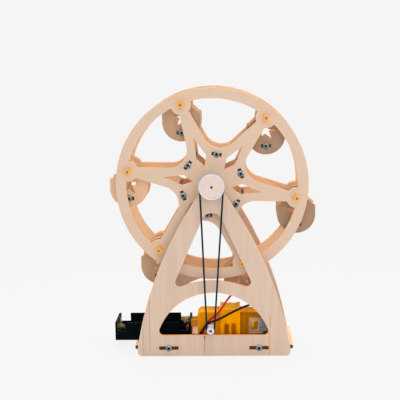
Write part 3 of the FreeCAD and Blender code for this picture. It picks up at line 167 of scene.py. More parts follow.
@dataclass(frozen=True)
class Finish:
    """What every finish has: a name, a colour and how rough it is."""

    name: str
    colour: str
    roughness: float = 0.5
    metallic: float = 0.0
    ior: float = 1.5
    specular: float = 0.5

    def material(self) -> bpy.types.Material:
        """Make the material on first use.

        Returns:
            The material.
        """
        found = bpy.data.materials.get(self.name)
        if found is not None:
            return found
        made = bpy.data.materials.new(self.name)
        tree = emptied(made)
        shader = add(tree, "ShaderNodeBsdfPrincipled", {
            "Base Color": self.colour, "Roughness": self.roughness, "Metallic": self.metallic})
        if not self.metallic:
            plug(tree, shader, {"IOR": self.ior, "Specular IOR Level": self.specular})
        add(tree, "ShaderNodeOutputMaterial", {"Surface": shader})
        self.dress(tree, shader)
        return made

    def dress(self, tree: Tree, shader: Node) -> None:
        """Add what this finish has beyond a plain colour."""

    def pattern(self, tree: Tree, pitch_mm: Sequence[float], detail: float) -> Node:
        """Add an uneven pattern that stays with the piece.

        Args:
            tree: the node tree.
            pitch_mm: the size of its features along each axis.
            detail: how many finer layers it has.

        Returns:
            The pattern, from 0 to 1.
        """
        place = add(tree, "ShaderNodeTexCoord").outputs["Object"]
        scale = [1 / (pitch * MM) for pitch in pitch_mm]
        stretched = add(tree, "ShaderNodeMapping", {"Vector": place, "Scale": scale})
        return add(tree, NOISE, {"Vector": stretched, "Scale": 1.0, "Detail": detail})


@dataclass(frozen=True)
class Streak:
    """A stain in a veneer: where it lies on the sheet, in millimetres, and its tone."""

    start: float
    side: float
    length: float
    width: float
    colour: str
    strength: float


@dataclass(frozen=True)
class Plywood(Finish):
    """Three-ply birch, 3 mm thick, sanded and bare, cut by laser.

    The eye sees pale pinkish veneer with fine straight fibres and soft wide figure, a tan halo
    where the heat reached the face, cut edges toasted orange-brown over the darker core ply, and a
    thin charred line at each arris of a cut.
    It follows the sheet's own coordinates, in millimetres: along the grain, across it and through
    it. Real fibres lie closer together: they are drawn as coarse as they need to show.
    """

    roughness: float = 0.62
    specular: float = 0.3
    fibre: str = "#D9B99C"
    pore: str = "#B98F70"
    core: str = "#F0AE6C"
    scorch: str = "#AE6833"
    edge_tone: str = "#FFC68A"
    line: str = "#6A3418"
    halo: str = "#FFBE84"
    fibre_pitch_mm: float = 0.9
    thickness_mm: float = 3.0
    skin_mm: float = 0.06
    halo_reach_mm: float = 0.9
    haloed: float = 0.75
    scorched: float = 0.15
    contrast: float = 0.30
    relief: float = 0.5
    relief_mm: float = 0.05
    streaks: tuple[Streak, ...] = ()

    def dress(self, tree: Tree, shader: Node) -> None:
        """Colour the faces and the cut edges, and raise the grain.

        Args:
            tree: the material's tree.
            shader: its shader.
        """
        sheet = add(tree, "ShaderNodeAttribute", attribute_name="sheet").outputs["Vector"]
        along, across, through = add(tree, "ShaderNodeSeparateXYZ", {0: sheet}).outputs
        veneer, fibres = self.veneer(tree, along, across)
        half = self.thickness_mm / 2
        inside = add(tree, MATH, {0: through, 1: half, 2: half - self.skin_mm}, operation="COMPARE")
        face = add(tree, MIX, {0: self.near_cut(tree), 6: veneer, 7: self.halo}, data_type="RGBA")
        edge = self.edge(tree, sheet, through)
        tone = add(tree, MIX, {0: inside, 6: face, 7: edge}, data_type="RGBA")
        bump = add(tree, BUMP, {"Height": fibres, "Strength": self.relief,
                                "Distance": self.relief_mm * MM})
        plug(tree, shader, {"Base Color": tone, "Normal": bump})

    def veneer(self, tree: Tree, along: Any, across: Any) -> tuple[Any, Node]:
        """Build the face: fine fibres, wide figure and pores, all drawn out along the grain.

        Args:
            tree: the node tree.
            along: millimetres along the grain.
            across: millimetres across the grain.

        Returns:
            The colour and the fibres' height.
        """
        bent = self.grain(tree, along, across, 0.012, 0.03, 1.0)
        lean = add(tree, MATH, {0: bent, 1: 0.5}, operation="SUBTRACT")
        sway, drift = (add(tree, MATH, {0: lean, 1: reach, 2: across}, operation="MULTIPLY_ADD")
                       for reach in (9.0, 2.0))
        pitch = 1 / self.fibre_pitch_mm
        shown = []
        tone: Any = self.colour
        # How fine each layer is, where it starts to show and shows in full, its share and its tone.
        for scale, low, high, share, colour in (
                ((0.03, pitch, 4.0, 0.62), 0.36, 0.68, 1.0, self.fibre),
                ((0.006, pitch / 9, 2.0), 0.42, 0.62, 0.8, self.fibre),
                ((0.09, pitch * 2.4, 1.0), 0.66, 0.78, 1.0, self.pore)):
            pattern = self.grain(tree, along, sway, *scale)
            shown.append(add(tree, RAMP, {0: pattern}, stops=((low, BLACK), (high, WHITE))))
            amount = add(tree, MATH, {0: shown[-1], 1: self.contrast * share}, operation="MULTIPLY")
            tone = add(tree, MIX, {0: amount, 6: tone, 7: colour}, data_type="RGBA")
        for streak in self.streaks:
            amount = self.stain(tree, along, drift, streak)
            tone = add(tree, MIX, {0: amount, 6: tone, 7: streak.colour}, data_type="RGBA")
        return tone, shown[0]

    def grain(self, tree: Tree, along: Any, across: Any, slow: float, fast: float, detail: float,
              roughness: float = 0.5) -> Node:
        """Add a pattern that is drawn out along the grain.

        Args:
            tree: the node tree.
            along: millimetres along the grain.
            across: millimetres across the grain.
            slow: features per millimetre along the grain.
            fast: features per millimetre across it.
            detail: how many finer layers it has.
            roughness: how strong those are.

        Returns:
            The pattern, from 0 to 1.
        """
        drawn = add(tree, "ShaderNodeCombineXYZ", {
            number: add(tree, MATH, {0: value, 1: scale}, operation="MULTIPLY")
            for number, (value, scale) in enumerate(((along, slow), (across, fast)))})
        return add(tree, NOISE, {"Vector": drawn, "Scale": 1.0, "Detail": detail,
                                 "Roughness": roughness})

    def stain(self, tree: Tree, along: Any, across: Any, streak: Streak) -> Any:
        """Work out how strong a streak is, soft at its sides and ends.

        Args:
            tree: the node tree.
            along: millimetres along the grain.
            across: millimetres across the grain.
            streak: where it lies and how it looks.

        Returns:
            The amount, from 0 to 1.
        """
        amount: Any = streak.strength
        half = streak.length / 2
        for value, middle, full, none in (
                (across, streak.side, streak.width * 0.2, streak.width),
                (along, streak.start + half, half * 0.6, half)):
            offset = add(tree, MATH, {0: value, 1: middle}, operation="SUBTRACT")
            distance = add(tree, MATH, {0: offset}, operation="ABSOLUTE")
            near = add(tree, RANGE, {"Value": distance, "From Min": full, "From Max": none,
                                     "To Min": 1.0, "To Max": 0.0})
            amount = add(tree, MATH, {0: near, 1: amount}, operation="MULTIPLY")
        return amount

    def edge(self, tree: Tree, sheet: Any, through: Any) -> Node:
        """Build the cut edge: three plies under uneven scorching.

        Args:
            tree: the node tree.
            sheet: the sheet's own coordinates.
            through: millimetres through the sheet.

        Returns:
            The colour.
        """
        depth = add(tree, MATH, {0: through, 1: self.thickness_mm}, operation="DIVIDE")
        plies = add(tree, RAMP, {0: depth}, stops=(
            (0.0, self.edge_tone), (0.32, self.edge_tone), (0.36, self.core), (0.64, self.core),
            (0.68, self.edge_tone), (0.87, self.edge_tone), (0.93, self.line)))
        stretched = add(tree, "ShaderNodeMapping", {"Vector": sheet, "Scale": (1.3, 1.3, 0.12)})
        heat = add(tree, NOISE, {"Vector": stretched, "Scale": 1.0, "Detail": 3.0})
        burnt = add(tree, RAMP, {0: heat}, stops=((0.40, BLACK), (0.80, WHITE)))
        amount = add(tree, MATH, {0: burnt, 1: self.scorched}, operation="MULTIPLY")
        return add(tree, MIX, {0: amount, 6: plies, 7: self.scorch}, data_type="RGBA")

    def near_cut(self, tree: Tree) -> Node:
        """Work out how much of the halo there is, from how near the cut edge is.

        Args:
            tree: the node tree.

        Returns:
            The amount, up to haloed.
        """
        bent = add(tree, BEVEL, {"Radius": self.halo_reach_mm * MM}, samples=8)
        flat = add(tree, "ShaderNodeNewGeometry").outputs["True Normal"]
        likeness = add(tree, "ShaderNodeVectorMath", {0: bent, 1: flat}, operation="DOT_PRODUCT")
        return add(tree, RANGE, {"Value": likeness, "From Min": 1.0, "From Max": 0.80,
                                 "To Min": 0.0, "To Max": self.haloed})


@dataclass(frozen=True)
class MouldedPlastic(Finish):
    """Injection-moulded plastic with a fine spark-eroded skin and slight flow mottling.

    The eye sees even colour with a soft gloss that breaks up a little. A yellow one is painted
    lighter on what faces up, as painted light from above. A real skin is finer than half a
    millimetre: it is drawn as coarse as it needs to show.
    """

    shade: str = "#808080"
    grain_mm: float = 0.5
    mottle_mm: float = 6.0
    spread: float = 0.07
    relief: float = 0.12
    relief_mm: float = 0.03
    glow: float = 0.0
    edge_mm: float = 0.3
    painted_top_light: str = ""

    def dress(self, tree: Tree, shader: Node) -> None:
        """Add mottling, a fine skin and a little light through the wall.

        Args:
            tree: the material's tree.
            shader: its shader.
        """
        flow = self.pattern(tree, (self.mottle_mm,) * 3, 2.0)
        tone = add(tree, RAMP, {0: flow}, stops=((0.30, self.colour), (0.75, self.shade)))
        # Painted light: faces that look up take a lighter yellow, standing in for light from above.
        if self.painted_top_light:
            normal = add(tree, "ShaderNodeNewGeometry").outputs["Normal"]
            upward = add(tree, "ShaderNodeSeparateXYZ", {0: normal}).outputs["Z"]
            amount = add(tree, RANGE, {"Value": upward, "From Min": 0.2, "From Max": 0.9})
            tone = add(tree, MIX, {0: amount, 6: tone, 7: self.painted_top_light}, data_type="RGBA")
        skin = self.pattern(tree, (self.grain_mm,) * 3, 1.0)
        rough = add(tree, RANGE, {"Value": skin, "To Min": self.roughness - self.spread,
                                  "To Max": self.roughness + self.spread})
        arris = add(tree, BEVEL, {"Radius": self.edge_mm * MM}, samples=4)
        bump = add(tree, BUMP, {"Height": skin, "Strength": self.relief, "Normal": arris,
                                "Distance": self.relief_mm * MM})
        plug(tree, shader, {"Base Color": tone, "Roughness": rough, "Normal": bump})
        if self.glow:
            plug(tree, shader, {"Subsurface Weight": self.glow, "Subsurface Scale": 1.0,
                                "Subsurface Radius": (4 * MM, 3 * MM, 2 * MM)})


@dataclass(frozen=True)
class DrawnMetal(Finish):
    """Plated or drawn metal: the eye sees fine lines along one axis and slightly uneven shine.

    The lines are drawn coarser than the real ones, so that they show.
    """

    metallic: float = 1.0
    shade: str = "#6F7478"
    line_mm: Place = (0.4, 0.4, 0.4)
    shinier: float = 0.08
    duller: float = 0.12
    relief: float = 0.15
    relief_mm: float = 0.02
    recess: str = ""

    def dress(self, tree: Tree, shader: Node) -> None:
        """Add drawing lines in colour, roughness and relief, and painted shade in a recess or hole.

        Args:
            tree: the material's tree.
            shader: its shader.
        """
        lines = self.pattern(tree, self.line_mm, 3.0)
        tone = add(tree, RAMP, {0: lines}, stops=((0.35, self.colour), (0.8, self.shade)))
        # Painted shade: faces marked as inside a recess or a hole take a near-black colour.
        if self.recess:
            recess_shade_mask = add(tree, "ShaderNodeAttribute", attribute_name="recess").outputs["Fac"]
            tone = add(tree, MIX, {0: recess_shade_mask, 6: tone, 7: self.recess}, data_type="RGBA")
        rough = add(tree, RANGE, {"Value": lines, "To Min": self.roughness - self.shinier,
                                  "To Max": self.roughness + self.duller})
        bump = add(tree, BUMP, {"Height": lines, "Strength": self.relief,
                                "Distance": self.relief_mm * MM})
        plug(tree, shader, {"Base Color": tone, "Roughness": rough, "Normal": bump})


@dataclass(frozen=True)
class SoftRubber(Finish):
    """Extruded rubber or PVC: the eye sees a soft sheen under a thin, patchy bloom."""

    bloom: str = "#2A4448"
    bloom_mm: float = 1000 / 420
    relief: float = 0.2
    relief_mm: float = 0.02

    def dress(self, tree: Tree, shader: Node) -> None:
        """Add the bloom and a faint relief.

        Args:
            tree: the material's tree.
            shader: its shader.
        """
        patchy = self.pattern(tree, (self.bloom_mm,) * 3, 3.0)
        tone = add(tree, RAMP, {0: patchy}, stops=((0.45, self.colour), (0.80, self.bloom)))
        bump = add(tree, BUMP, {"Height": patchy, "Strength": self.relief,
                                "Distance": self.relief_mm * MM})
        plug(tree, shader, {"Base Color": tone, "Normal": bump})


@dataclass(frozen=True)
class ClearPlastic(Finish):
    """Clear polypropylene: what is behind it shows, and a milkier copy is painted on its edges as a
    painted highlight.
    """

    ior: float = 1.49
    body: float = 0.12
    wave_mm: float = 1000 / 300
    duller: float = 0.06

    def dress(self, tree: Tree, shader: Node) -> None:
        """Let most of what is behind it show, unevenly polished.

        Args:
            tree: the material's tree.
            shader: its shader.
        """
        waves = self.pattern(tree, (self.wave_mm,) * 3, 1.0)
        rough = add(tree, RANGE, {"Value": waves, "To Min": self.roughness,
                                  "To Max": self.roughness + self.duller})
        plug(tree, shader, {"Alpha": self.body, "Roughness": rough})


def ply(use: str, colour: str, **settings: Any) -> Plywood:
    """Return birch plywood for one use in the toy, with its veneer's tone."""
    return Plywood("laser-cut birch plywood, " + use, colour, **settings)


class Finishes:
    """The finishes of this toy, by what the piece is made of."""

    # Bare veneer, the wheel's and the frames' sheets each in its own tone; the frames' sheets have
    # dark mineral streaks. The rear wheel plate is painted lighter, as painted light past the front
    # plate.
    wheel_ply = ply("wheel", "#D4BAA4", line="#B67A4A")
    lit_rear_wheel_ply = ply("rear wheel, painted light", "#F6CCA4", fibre="#EABC90", line="#B67A4A")
    frame_ply = ply("front frame", "#D6BDA9", roughness=0.64, fibre="#C2A58E", contrast=0.34,
                    streaks=(Streak(0.5, -6.9, 16.5, 0.9, "#B98A5C", 0.7),
                             Streak(13.2, -6.9, 4.0, 0.7, "#5B3A22", 0.85),
                             Streak(-2.0, -50.3, 64.0, 0.55, "#9A776C", 0.6),
                             Streak(-2.0, -55.6, 30.0, 0.6, "#A98578", 0.5),
                             Streak(-3.0, 43.7, 26.0, 1.6, "#CE9A60", 0.5),
                             Streak(22.0, 44.4, 12.0, 1.0, "#B87838", 0.5),
                             Streak(26.0, 46.0, 44.0, 1.6, "#CFA67C", 0.35)))
    rear_ply = ply("rear frame", "#D6BDA9", roughness=0.64, fibre="#C2A58E", contrast=0.34,
                   streaks=(Streak(10.0, 20.0, 60.0, 1.2, "#B48A66", 0.4),))
    # The cabins' veneers are painted copies: darker than the wheel as painted shade under it, the
    # tan one deepest, and the pale one lighter as painted light.
    cabin_ply = ply("cabin", "#B89678", fibre="#A68466", halo="#DCA474")
    lit_cabin_ply = ply("cabin, painted light", "#DDB997", fibre="#CCA684", halo="#F4BE8E")
    deep_shade_cabin_ply = ply("cabin, painted deep shade", "#A4846A", fibre="#927258", halo="#CC9666")
    # The small plates show mostly their cuts, which the laser charred; the cuts are painted nearly
    # black, partly as painted shade deep in the slots. Their faces are painted lighter than the
    # other sheets, as painted light on the braces seen through the wheel's windows.
    painted_light_charred_tab_ply = ply("inner plates", "#FFD2A0", fibre="#F0BC88", pore="#CC9660", scorched=0.9,
                  scorch="#1E0E06", core="#42200E", edge_tone="#542A12")
    # Zinc gives a cool bluish shine; its cross recess is painted nearly black, as painted shade.
    zinc = DrawnMetal("zinc-plated steel, blue passivated", "#93A6AC", 0.34, shade="#54666C",
                      recess="#0B1714")
    # Black oxide is a dull greenish black.
    set_screw = DrawnMetal("black-oxide steel set screw", "#343A26", 0.45, shade="#1C2016")
    # Bright rod has long sharp lights along it; the holes in the axle's ends are painted nearly
    # black, as painted shade.
    rod = DrawnMetal("bright drawn steel rod", "#B6BCC4", 0.24, shade="#80868E", recess="#0A0A0C",
                     line_mm=(0.3, 6.0, 0.3))
    # Each rod's end is painted an even blue dot, a painted reflection on the bare steel end.
    painted_blue_rod_end = MouldedPlastic("rod's end, painted blue reflection", "#0080F4", 0.45, specular=0.02,
                             shade="#0072E6", edge_mm=0.05)
    # The can has a dark satin sheen with lines round it, and the contacts a warm yellowish one.
    can = DrawnMetal("drawn steel can", "#62666A", 0.45, shade="#484C50", line_mm=(5.0, 0.25, 0.25))
    nickel = DrawnMetal("nickel-plated spring steel", "#A0956C", 0.34, shade="#665A3A",
                        line_mm=(0.5, 0.5, 0.5))
    # Polyethylene is soft and even, and nylon and acetal are milky with light in their edges.
    cap = MouldedPlastic("moulded polyethylene cap", "#FFB010", 0.42, specular=0.15,
                         shade="#FFA608", edge_mm=0.1)
    sleeve = MouldedPlastic("moulded nylon sleeve", "#ECE8DF", 0.45, shade="#E0DCD1", glow=0.2)
    end_cap = MouldedPlastic("moulded nylon end cap", "#E6E3DA", 0.45, shade="#D8D4C8")
    pulley = MouldedPlastic("moulded acetal, disc", "#E2CFC3", 0.40, specular=0.35,
                            shade="#DAC6B9", glow=0.2)
    pulley_rim = MouldedPlastic("moulded acetal, rim", "#D8D8DF", 0.40, specular=0.3,
                                shade="#CFCFD8", glow=0.2)
    gear = MouldedPlastic("moulded acetal gear", "#F0EDE6", 0.4, shade="#E2DED4", glow=0.1)
    # Yellow ABS is deep and warm. The cage and the pocket floors are painted brown, as painted
    # shade, and what faces up is painted lighter, as painted light from above.
    yellow = MouldedPlastic("moulded ABS, yellow gearbox", "#E89400", 0.48, specular=0.0,
                            shade="#DC8800", painted_top_light="#FFC030")
    painted_shade_cage = MouldedPlastic("moulded ABS, yellow cage, painted shade", "#AC6A00", 0.48, specular=0.0,
                          shade="#A26200", painted_top_light="#F0B030")
    bracket = MouldedPlastic("moulded ABS, yellow bracket", "#FAA400", 0.46, specular=0.0,
                             shade="#F09800", edge_mm=0.5, painted_top_light="#FFCC40")
    pocket_shade = MouldedPlastic("moulded ABS, pocket floor, painted shade", "#B46200", specular=0.0,
                            shade="#AC5C00")
    # A small raised red-brown dot on the front shell.
    red_dot = MouldedPlastic("moulded ABS, red-brown dot", "#B03808", specular=0.1,
                         shade="#9C2C04", edge_mm=0.1)
    # The holder's black has a dull textured skin that takes the shine off.
    black = MouldedPlastic("moulded ABS, black", "#000A0A", specular=0.03, shade="#020E0E",
                           relief=0.25)
    # The strap's rounded edges take a milky white copy, as a painted highlight.
    strap = ClearPlastic("clear polypropylene strap", "#E8ECEE", 0.12)
    strap_edge_highlight = ClearPlastic("clear polypropylene, painted edge highlight", "#F2F2EC", 0.25, body=0.5)
    # Nitrile is a matt blue-black, and PVC has a smooth low gloss.
    belt = SoftRubber("extruded nitrile rubber cord", "#02242C", 0.62, specular=0.03,
                      bloom="#063038")
    red_pvc = SoftRubber("extruded PVC insulation, red", "#C00A28", 0.38, specular=0.15,
                         bloom="#CC1C38")
    black_pvc = SoftRubber("extruded PVC insulation, black", "#02040C", 0.42, specular=0.06,
                           bloom="#080E1C")


# ---------------------------------------------------------------- pieces and meshes

def linked(name: str, data: Any) -> Piece:
    """Put a new object in the scene.

    Args:
        name: its name.
        data: its mesh, curve, lamp or camera.

    Returns:
        The object.
    """
    piece = bpy.data.objects.new(name, data)
    bpy.context.scene.collection.objects.link(piece)
    return piece


def baked(piece: Piece) -> Mesh:
    """Turn an object and its modifiers into a plain mesh, and remove the object.

    Args:
        piece: the object.

    Returns:
        The mesh.
    """
    graph = bpy.context.evaluated_depsgraph_get()
    mesh = bpy.data.meshes.new_from_object(piece.evaluated_get(graph), depsgraph=graph)
    bpy.data.objects.remove(piece)
    return mesh


def finished(shapes: Shape, name: str) -> Mesh:
    """Turn a working mesh into a plain one, and free it.

    Args:
        shapes: the working mesh.
        name: the plain mesh's name.

    Returns:
        The plain mesh.
    """
    mesh = bpy.data.meshes.new(name)
    shapes.to_mesh(mesh)
    shapes.free()
    return mesh


def mount(piece: Piece, body: str, slot: str, *nodes: str) -> None:
    """Fix a piece to its body, hide the nodes that it replaces, and log where it rides.

    Args:
        piece: the finished piece.
        body: the moving body that carries it.
        slot: the record's material slot; not used.
        nodes: the frame's nodes that it replaces.
    """
    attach(piece, body)
    if nodes:
        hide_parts(*nodes)
    LOG.info("%s rides on %s", piece.name, body)


def put_in(name: str, shape: Shape | Mesh, body: str, slot: str, finishes: Sequence[Finish],
           *nodes: str) -> None:
    """Put a shape in the scene with its finishes, fixed to its body.

    Args:
        name: the piece's name.
        shape: the plain or working mesh.
        body: the moving body that carries it.
        slot: the record's material slot.
        finishes: one for each of the mesh's material slots.
        nodes: the frame's nodes that it replaces.
    """
    mesh = finished(shape, name) if isinstance(shape, Shape) else shape
    piece = linked(name, mesh)
    mesh.name = name
    if len(mesh.materials):
        mesh.materials.clear()
    for finish in finishes:
        mesh.materials.append(finish.material())
    mesh.polygons.foreach_set("use_smooth", [True] * len(mesh.polygons))
    mesh.set_sharp_from_angle(angle=math.radians(SMOOTH_DEG))
    mesh.update()
    mount(piece, body, slot, *nodes)


def dress_nodes(nodes: Nodes, finish: Finish, *names: str) -> None:
    """Give nodes of the frame a finish.

    Args:
        nodes: the frame's nodes.
        finish: the finish.
        names: the nodes to dress.
    """
    for name in names:
        for place in nodes[name].material_slots:
            place.material = finish.material()
        LOG.info("%s is %s", name, finish.name)


@dataclass(frozen=True)
class Box:
    """A box along the axes, by its lowest and highest corner."""

    low: Vector
    high: Vector

    @classmethod
    def of(cls, node: str) -> Box:
        """Return the box of a node at rest."""
        return cls(*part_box(node))

    @classmethod
    def around(cls, points: Iterable[Vector]) -> Box:
        """Return the box of some points."""
        listed = list(points)
        return cls(*(Vector(pick(p[i] for p in listed) for i in range(3)) for pick in (min, max)))

    @property
    def size(self) -> Vector:
        """Its size along each axis."""
        return self.high - self.low

    @property
    def centre(self) -> Vector:
        """Its middle."""
        return (self.low + self.high) / 2

    @property
    def front(self) -> Vector:
        """The middle of its front side."""
        return Vector((self.centre.x, self.low.y, self.centre.z))


@dataclass(frozen=True)
class Island(Box):
    """One solid of a node: its box, and the way that it points."""

    facing: Vector

    @property
    def length(self) -> float:
        """Its size along the way it points."""
        return abs(self.size.dot(self.facing))


@dataclass
class Turning:
    """Builds turned shapes about an axis into one mesh."""

    origin: Vector = field(default_factory=Vector)
    axis: Vector = field(default_factory=UP.copy)
    segments: int = 32
    shapes: Shape = field(default_factory=bmesh.new)

    def turn(self, profile: Profile, slot: int = 0, closed: bool = False) -> None:
        """Spin a profile about the axis.

        Args:
            profile: pairs of distance along the axis and radius, from the back to the front.
            slot: the material slot.
            closed: whether the profile is a ring that never meets the axis.
        """
        side = self.axis.orthogonal().normalized()
        across = self.axis.cross(side).normalized()
        angles = [2 * math.pi * i / self.segments for i in range(self.segments)]
        rings = []
        for along, radius in profile:
            centre = self.origin + self.axis * along
            spokes = [side * math.cos(a) + across * math.sin(a) for a in angles if radius]
            rings.append([self.shapes.verts.new(centre + spoke * radius)
                          for spoke in spokes or [Vector()]])
        pairs = list(zip(rings, rings[1:]))
        if closed:
            pairs.append((rings[-1], rings[0]))
        for first, second in pairs:
            for i in range(self.segments):
                corners = [first[i % len(first)], first[(i + 1) % len(first)],
                           second[(i + 1) % len(second)], second[i % len(second)]]
                self.shapes.faces.new(list(dict.fromkeys(corners))).material_index = slot

    def mesh(self) -> Mesh:
        """Return the finished mesh, with its faces outwards."""
        bmesh.ops.recalc_face_normals(self.shapes, faces=self.shapes.faces)
        return finished(self.shapes, "turned")


def groove(middle: float, rim: float, radius: float) -> list[tuple[float, float]]:
    """Trace a round-bottomed groove that is sunk into a rim at middle, as a profile to turn."""
    angles = [math.radians(30 * i) for i in range(-3, 4)]
    return [(middle + radius * math.sin(a), rim - radius * math.cos(a)) for a in angles]


def mark_recess_shade(mesh: Mesh, inside: Callable[[Vector], bool]) -> None:
    """Mark the faces inside a driver recess or a drilled hole, for painted shade there.

    Args:
        mesh: the mesh.
        inside: tells from a face's centre whether it lies inside.
    """
    recess_shade_mask = mesh.attributes.new("recess", "FLOAT", "FACE")
    for face, entry in zip(mesh.polygons, recess_shade_mask.data):
        entry.value = float(inside(face.center))


def add_block(shapes: Shape, centre: Vector, size: Sequence[float]) -> list[bmesh.types.BMVert]:
    """Add a plain block to a working mesh, to cut with or to round, and return its corners."""
    matrix = Matrix.Translation(centre) @ Matrix.Diagonal((*size, 1))
    return bmesh.ops.create_cube(shapes, size=1.0, matrix=matrix)["verts"]


def block(centre: Vector, size: Sequence[float]) -> Mesh:
    """Make a mesh of one plain block.

    Args:
        centre: its middle.
        size: its size along each axis.

    Returns:
        The mesh.
    """
    shapes = bmesh.new()
    add_block(shapes, centre, size)
    return finished(shapes, "block")


def carved(blank: Mesh, *cutters: Mesh) -> Mesh:
    """Cut closed meshes out of another, one after the other.

    Args:
        blank: the mesh that is cut.
        cutters: the meshes that are taken away.

    Returns:
        What is left.
    """
    for mesh in cutters:
        piece, cutter = linked("blank", blank), linked("cutter", mesh)
        cut = piece.modifiers.new("cut", "BOOLEAN")
        cut.operation, cut.object, cut.solver = "DIFFERENCE", cutter, "EXACT"
        blank = baked(piece)
        bpy.data.objects.remove(cutter)
    return blank


def merged(node: Piece) -> Shape:
    """Copy a node's mesh with its loose triangles joined.

    Args:
        node: the frame's node.

    Returns:
        The copy, to work on.
    """
    shapes = bmesh.new()
    shapes.from_mesh(node.data)
    bmesh.ops.remove_doubles(shapes, verts=shapes.verts, dist=1e-6)
    return shapes


def flattened(shapes: Shape) -> Shape:
    """Join the coplanar triangles of a mesh into flat faces.

    Args:
        shapes: the working mesh.

    Returns:
        The same mesh.
    """
    bmesh.ops.dissolve_limit(shapes, angle_limit=math.radians(0.3), verts=shapes.verts,
                             edges=shapes.edges)
    return shapes


def connected(items: Iterable[Any], near: Callable[[Any], Iterable[Any]]) -> list[list[Any]]:
    """Sort items into groups that hang together.

    Args:
        items: vertices or edges of a mesh.
        near: gives the ones that touch a given one.

    Returns:
        The groups, in the order of their first items.
    """
    left = dict.fromkeys(items)
    groups = []
    while left:
        group = [next(iter(left))]
        del left[group[0]]
        for item in group:
            for other in near(item):
                if other in left:
                    del left[other]
                    group.append(other)
        groups.append(group)
    return groups


def parts_of(shapes: Shape) -> list[list[bmesh.types.BMVert]]:
    """Return the vertices of each separate part of a mesh."""
    return connected(shapes.verts, lambda vertex: [e.other_vert(vertex) for e in vertex.link_edges])


def round_edges(shapes: Shape, edges: Iterable[bmesh.types.BMEdge], width: float, segments: int,
                slot: int = -1) -> None:
    """Round edges by a width in some segments, with a slot for the rounding or its neighbours'."""
    bmesh.ops.bevel(shapes, geom=list(edges), offset=width, offset_type="OFFSET", affect="EDGES",
                    segments=segments, profile=0.5, clamp_overlap=False, material=slot)


def outline_edges(shapes: Shape, facing: Vector, least: float) -> list[bmesh.types.BMEdge]:
    """Find the outer edges of the largest flat face that looks one way.

    Args:
        shapes: the mesh, with coplanar triangles joined.
        facing: the way that the face looks.
        least: edges whose other face is lower than this are left out.

    Returns:
        The edges of the longest loop round it.
    """
    areas: dict[int, float] = {}
    level = {}
    for face in shapes.faces:
        if face.normal.dot(facing) > 0.999:
            level[face] = round(face.verts[0].co.dot(facing) / (0.01 * MM))
            areas[level[face]] = areas.get(level[face], 0.0) + face.calc_area()
    best = max(areas, key=areas.get)
    border = [edge for edge in shapes.edges if len(edge.link_faces) == 2
              and sum(level.get(face) == best for face in edge.link_faces) == 1]
    loops = connected(border, lambda edge: [e for vertex in edge.verts for e in vertex.link_edges])
    chosen = []
    for edge in max(loops, key=lambda loop: sum(edge.calc_length() for edge in loop)):
        side = next(face for face in edge.link_faces if level.get(face) != best)
        depths = [vertex.co.dot(facing) for vertex in side.verts]
        if max(depths) - min(depths) > least:
            chosen.append(edge)
    return chosen


# ---------------------------------------------------------------- plywood

class Lie(Enum):
    """The way that a sheet faces, and the way that its grain runs."""

    UPRIGHT = (FRONT_TO_BACK, UP)
    UPRIGHT_ACROSS = (FRONT_TO_BACK, RIGHT)
    FLAT = (UP, RIGHT)
    FLAT_ACROSS = (UP, FRONT_TO_BACK)
    ROUND_HUB = (None, FRONT_TO_BACK)


@dataclass
class PlySheets:
    """Laser-cut plates: the frame's shapes, with the coordinates of the sheet they come from."""

    nodes: Nodes
    sheet_step_mm: float = 83.0

    def cut(self, node: str, body: str, slot: str, finish: Finish, lie: Lie) -> None:
        """Make one plate, or a ring of plates that each face away from the hub.

        Args:
            node: the frame's node.
            body: the body that carries it.
            slot: the record's material slot.
            finish: the plywood.
            lie: how the sheet lies.
        """
        shapes = merged(self.nodes[node])
        layer = shapes.verts.layers.float_vector.new("sheet")
        facing, grain = lie.value
        for number, group in enumerate([list(shapes.verts)] if facing else parts_of(shapes)):
            outward = facing or self.from_hub(group)
            across = outward.cross(grain)
            back = min(vertex.co.dot(outward) for vertex in group)
            for vertex in group:
                vertex[layer] = Vector((vertex.co.dot(grain) / MM + self.sheet_step_mm * number,
                                        vertex.co.dot(across) / MM,
                                        (vertex.co.dot(outward) - back) / MM))
        put_in(node + "_ply", flattened(shapes), body, slot, [finish], node)

    def from_hub(self, group: Sequence[bmesh.types.BMVert]) -> Vector:
        """Return the way from the axle to a plate."""
        offset = Box.around(vertex.co for vertex in group).centre - Box.of("main_axle").centre
        return Vector((offset.x, 0, offset.z)).normalized()


# ---------------------------------------------------------------- geometry node trees

def opened(name: str, inputs: Mapping[str, str]) -> tuple[Tree, Any]:
    """Start a geometry tree.

    Args:
        name: the tree's name.
        inputs: the type of each input that stands between the geometry and the finish.

    Returns:
        The tree and its inputs' sockets.
    """
    tree = bpy.data.node_groups.new(name, "GeometryNodeTree")
    for label, kind in {"Geometry": "Geometry", **inputs, "Finish": "Material"}.items():
        tree.interface.new_socket(name=label, in_out="INPUT", socket_type="NodeSocket" + kind)
    tree.interface.new_socket(name="Geometry", in_out="OUTPUT", socket_type="NodeSocketGeometry")
    return tree, add(tree, "NodeGroupInput").outputs


def ended(tree: Tree, shape: Node, given: Any) -> Tree:
    """End a geometry tree with real geometry and its material.

    Args:
        tree: the tree.
        shape: the node that makes the shape.
        given: the tree's inputs.

    Returns:
        The tree.
    """
    real = add(tree, "GeometryNodeRealizeInstances", {0: shape})
    painted = add(tree, "GeometryNodeSetMaterial", {"Geometry": real, "Material": given["Finish"]})
    add(tree, "NodeGroupOutput", {0: painted})
    return tree


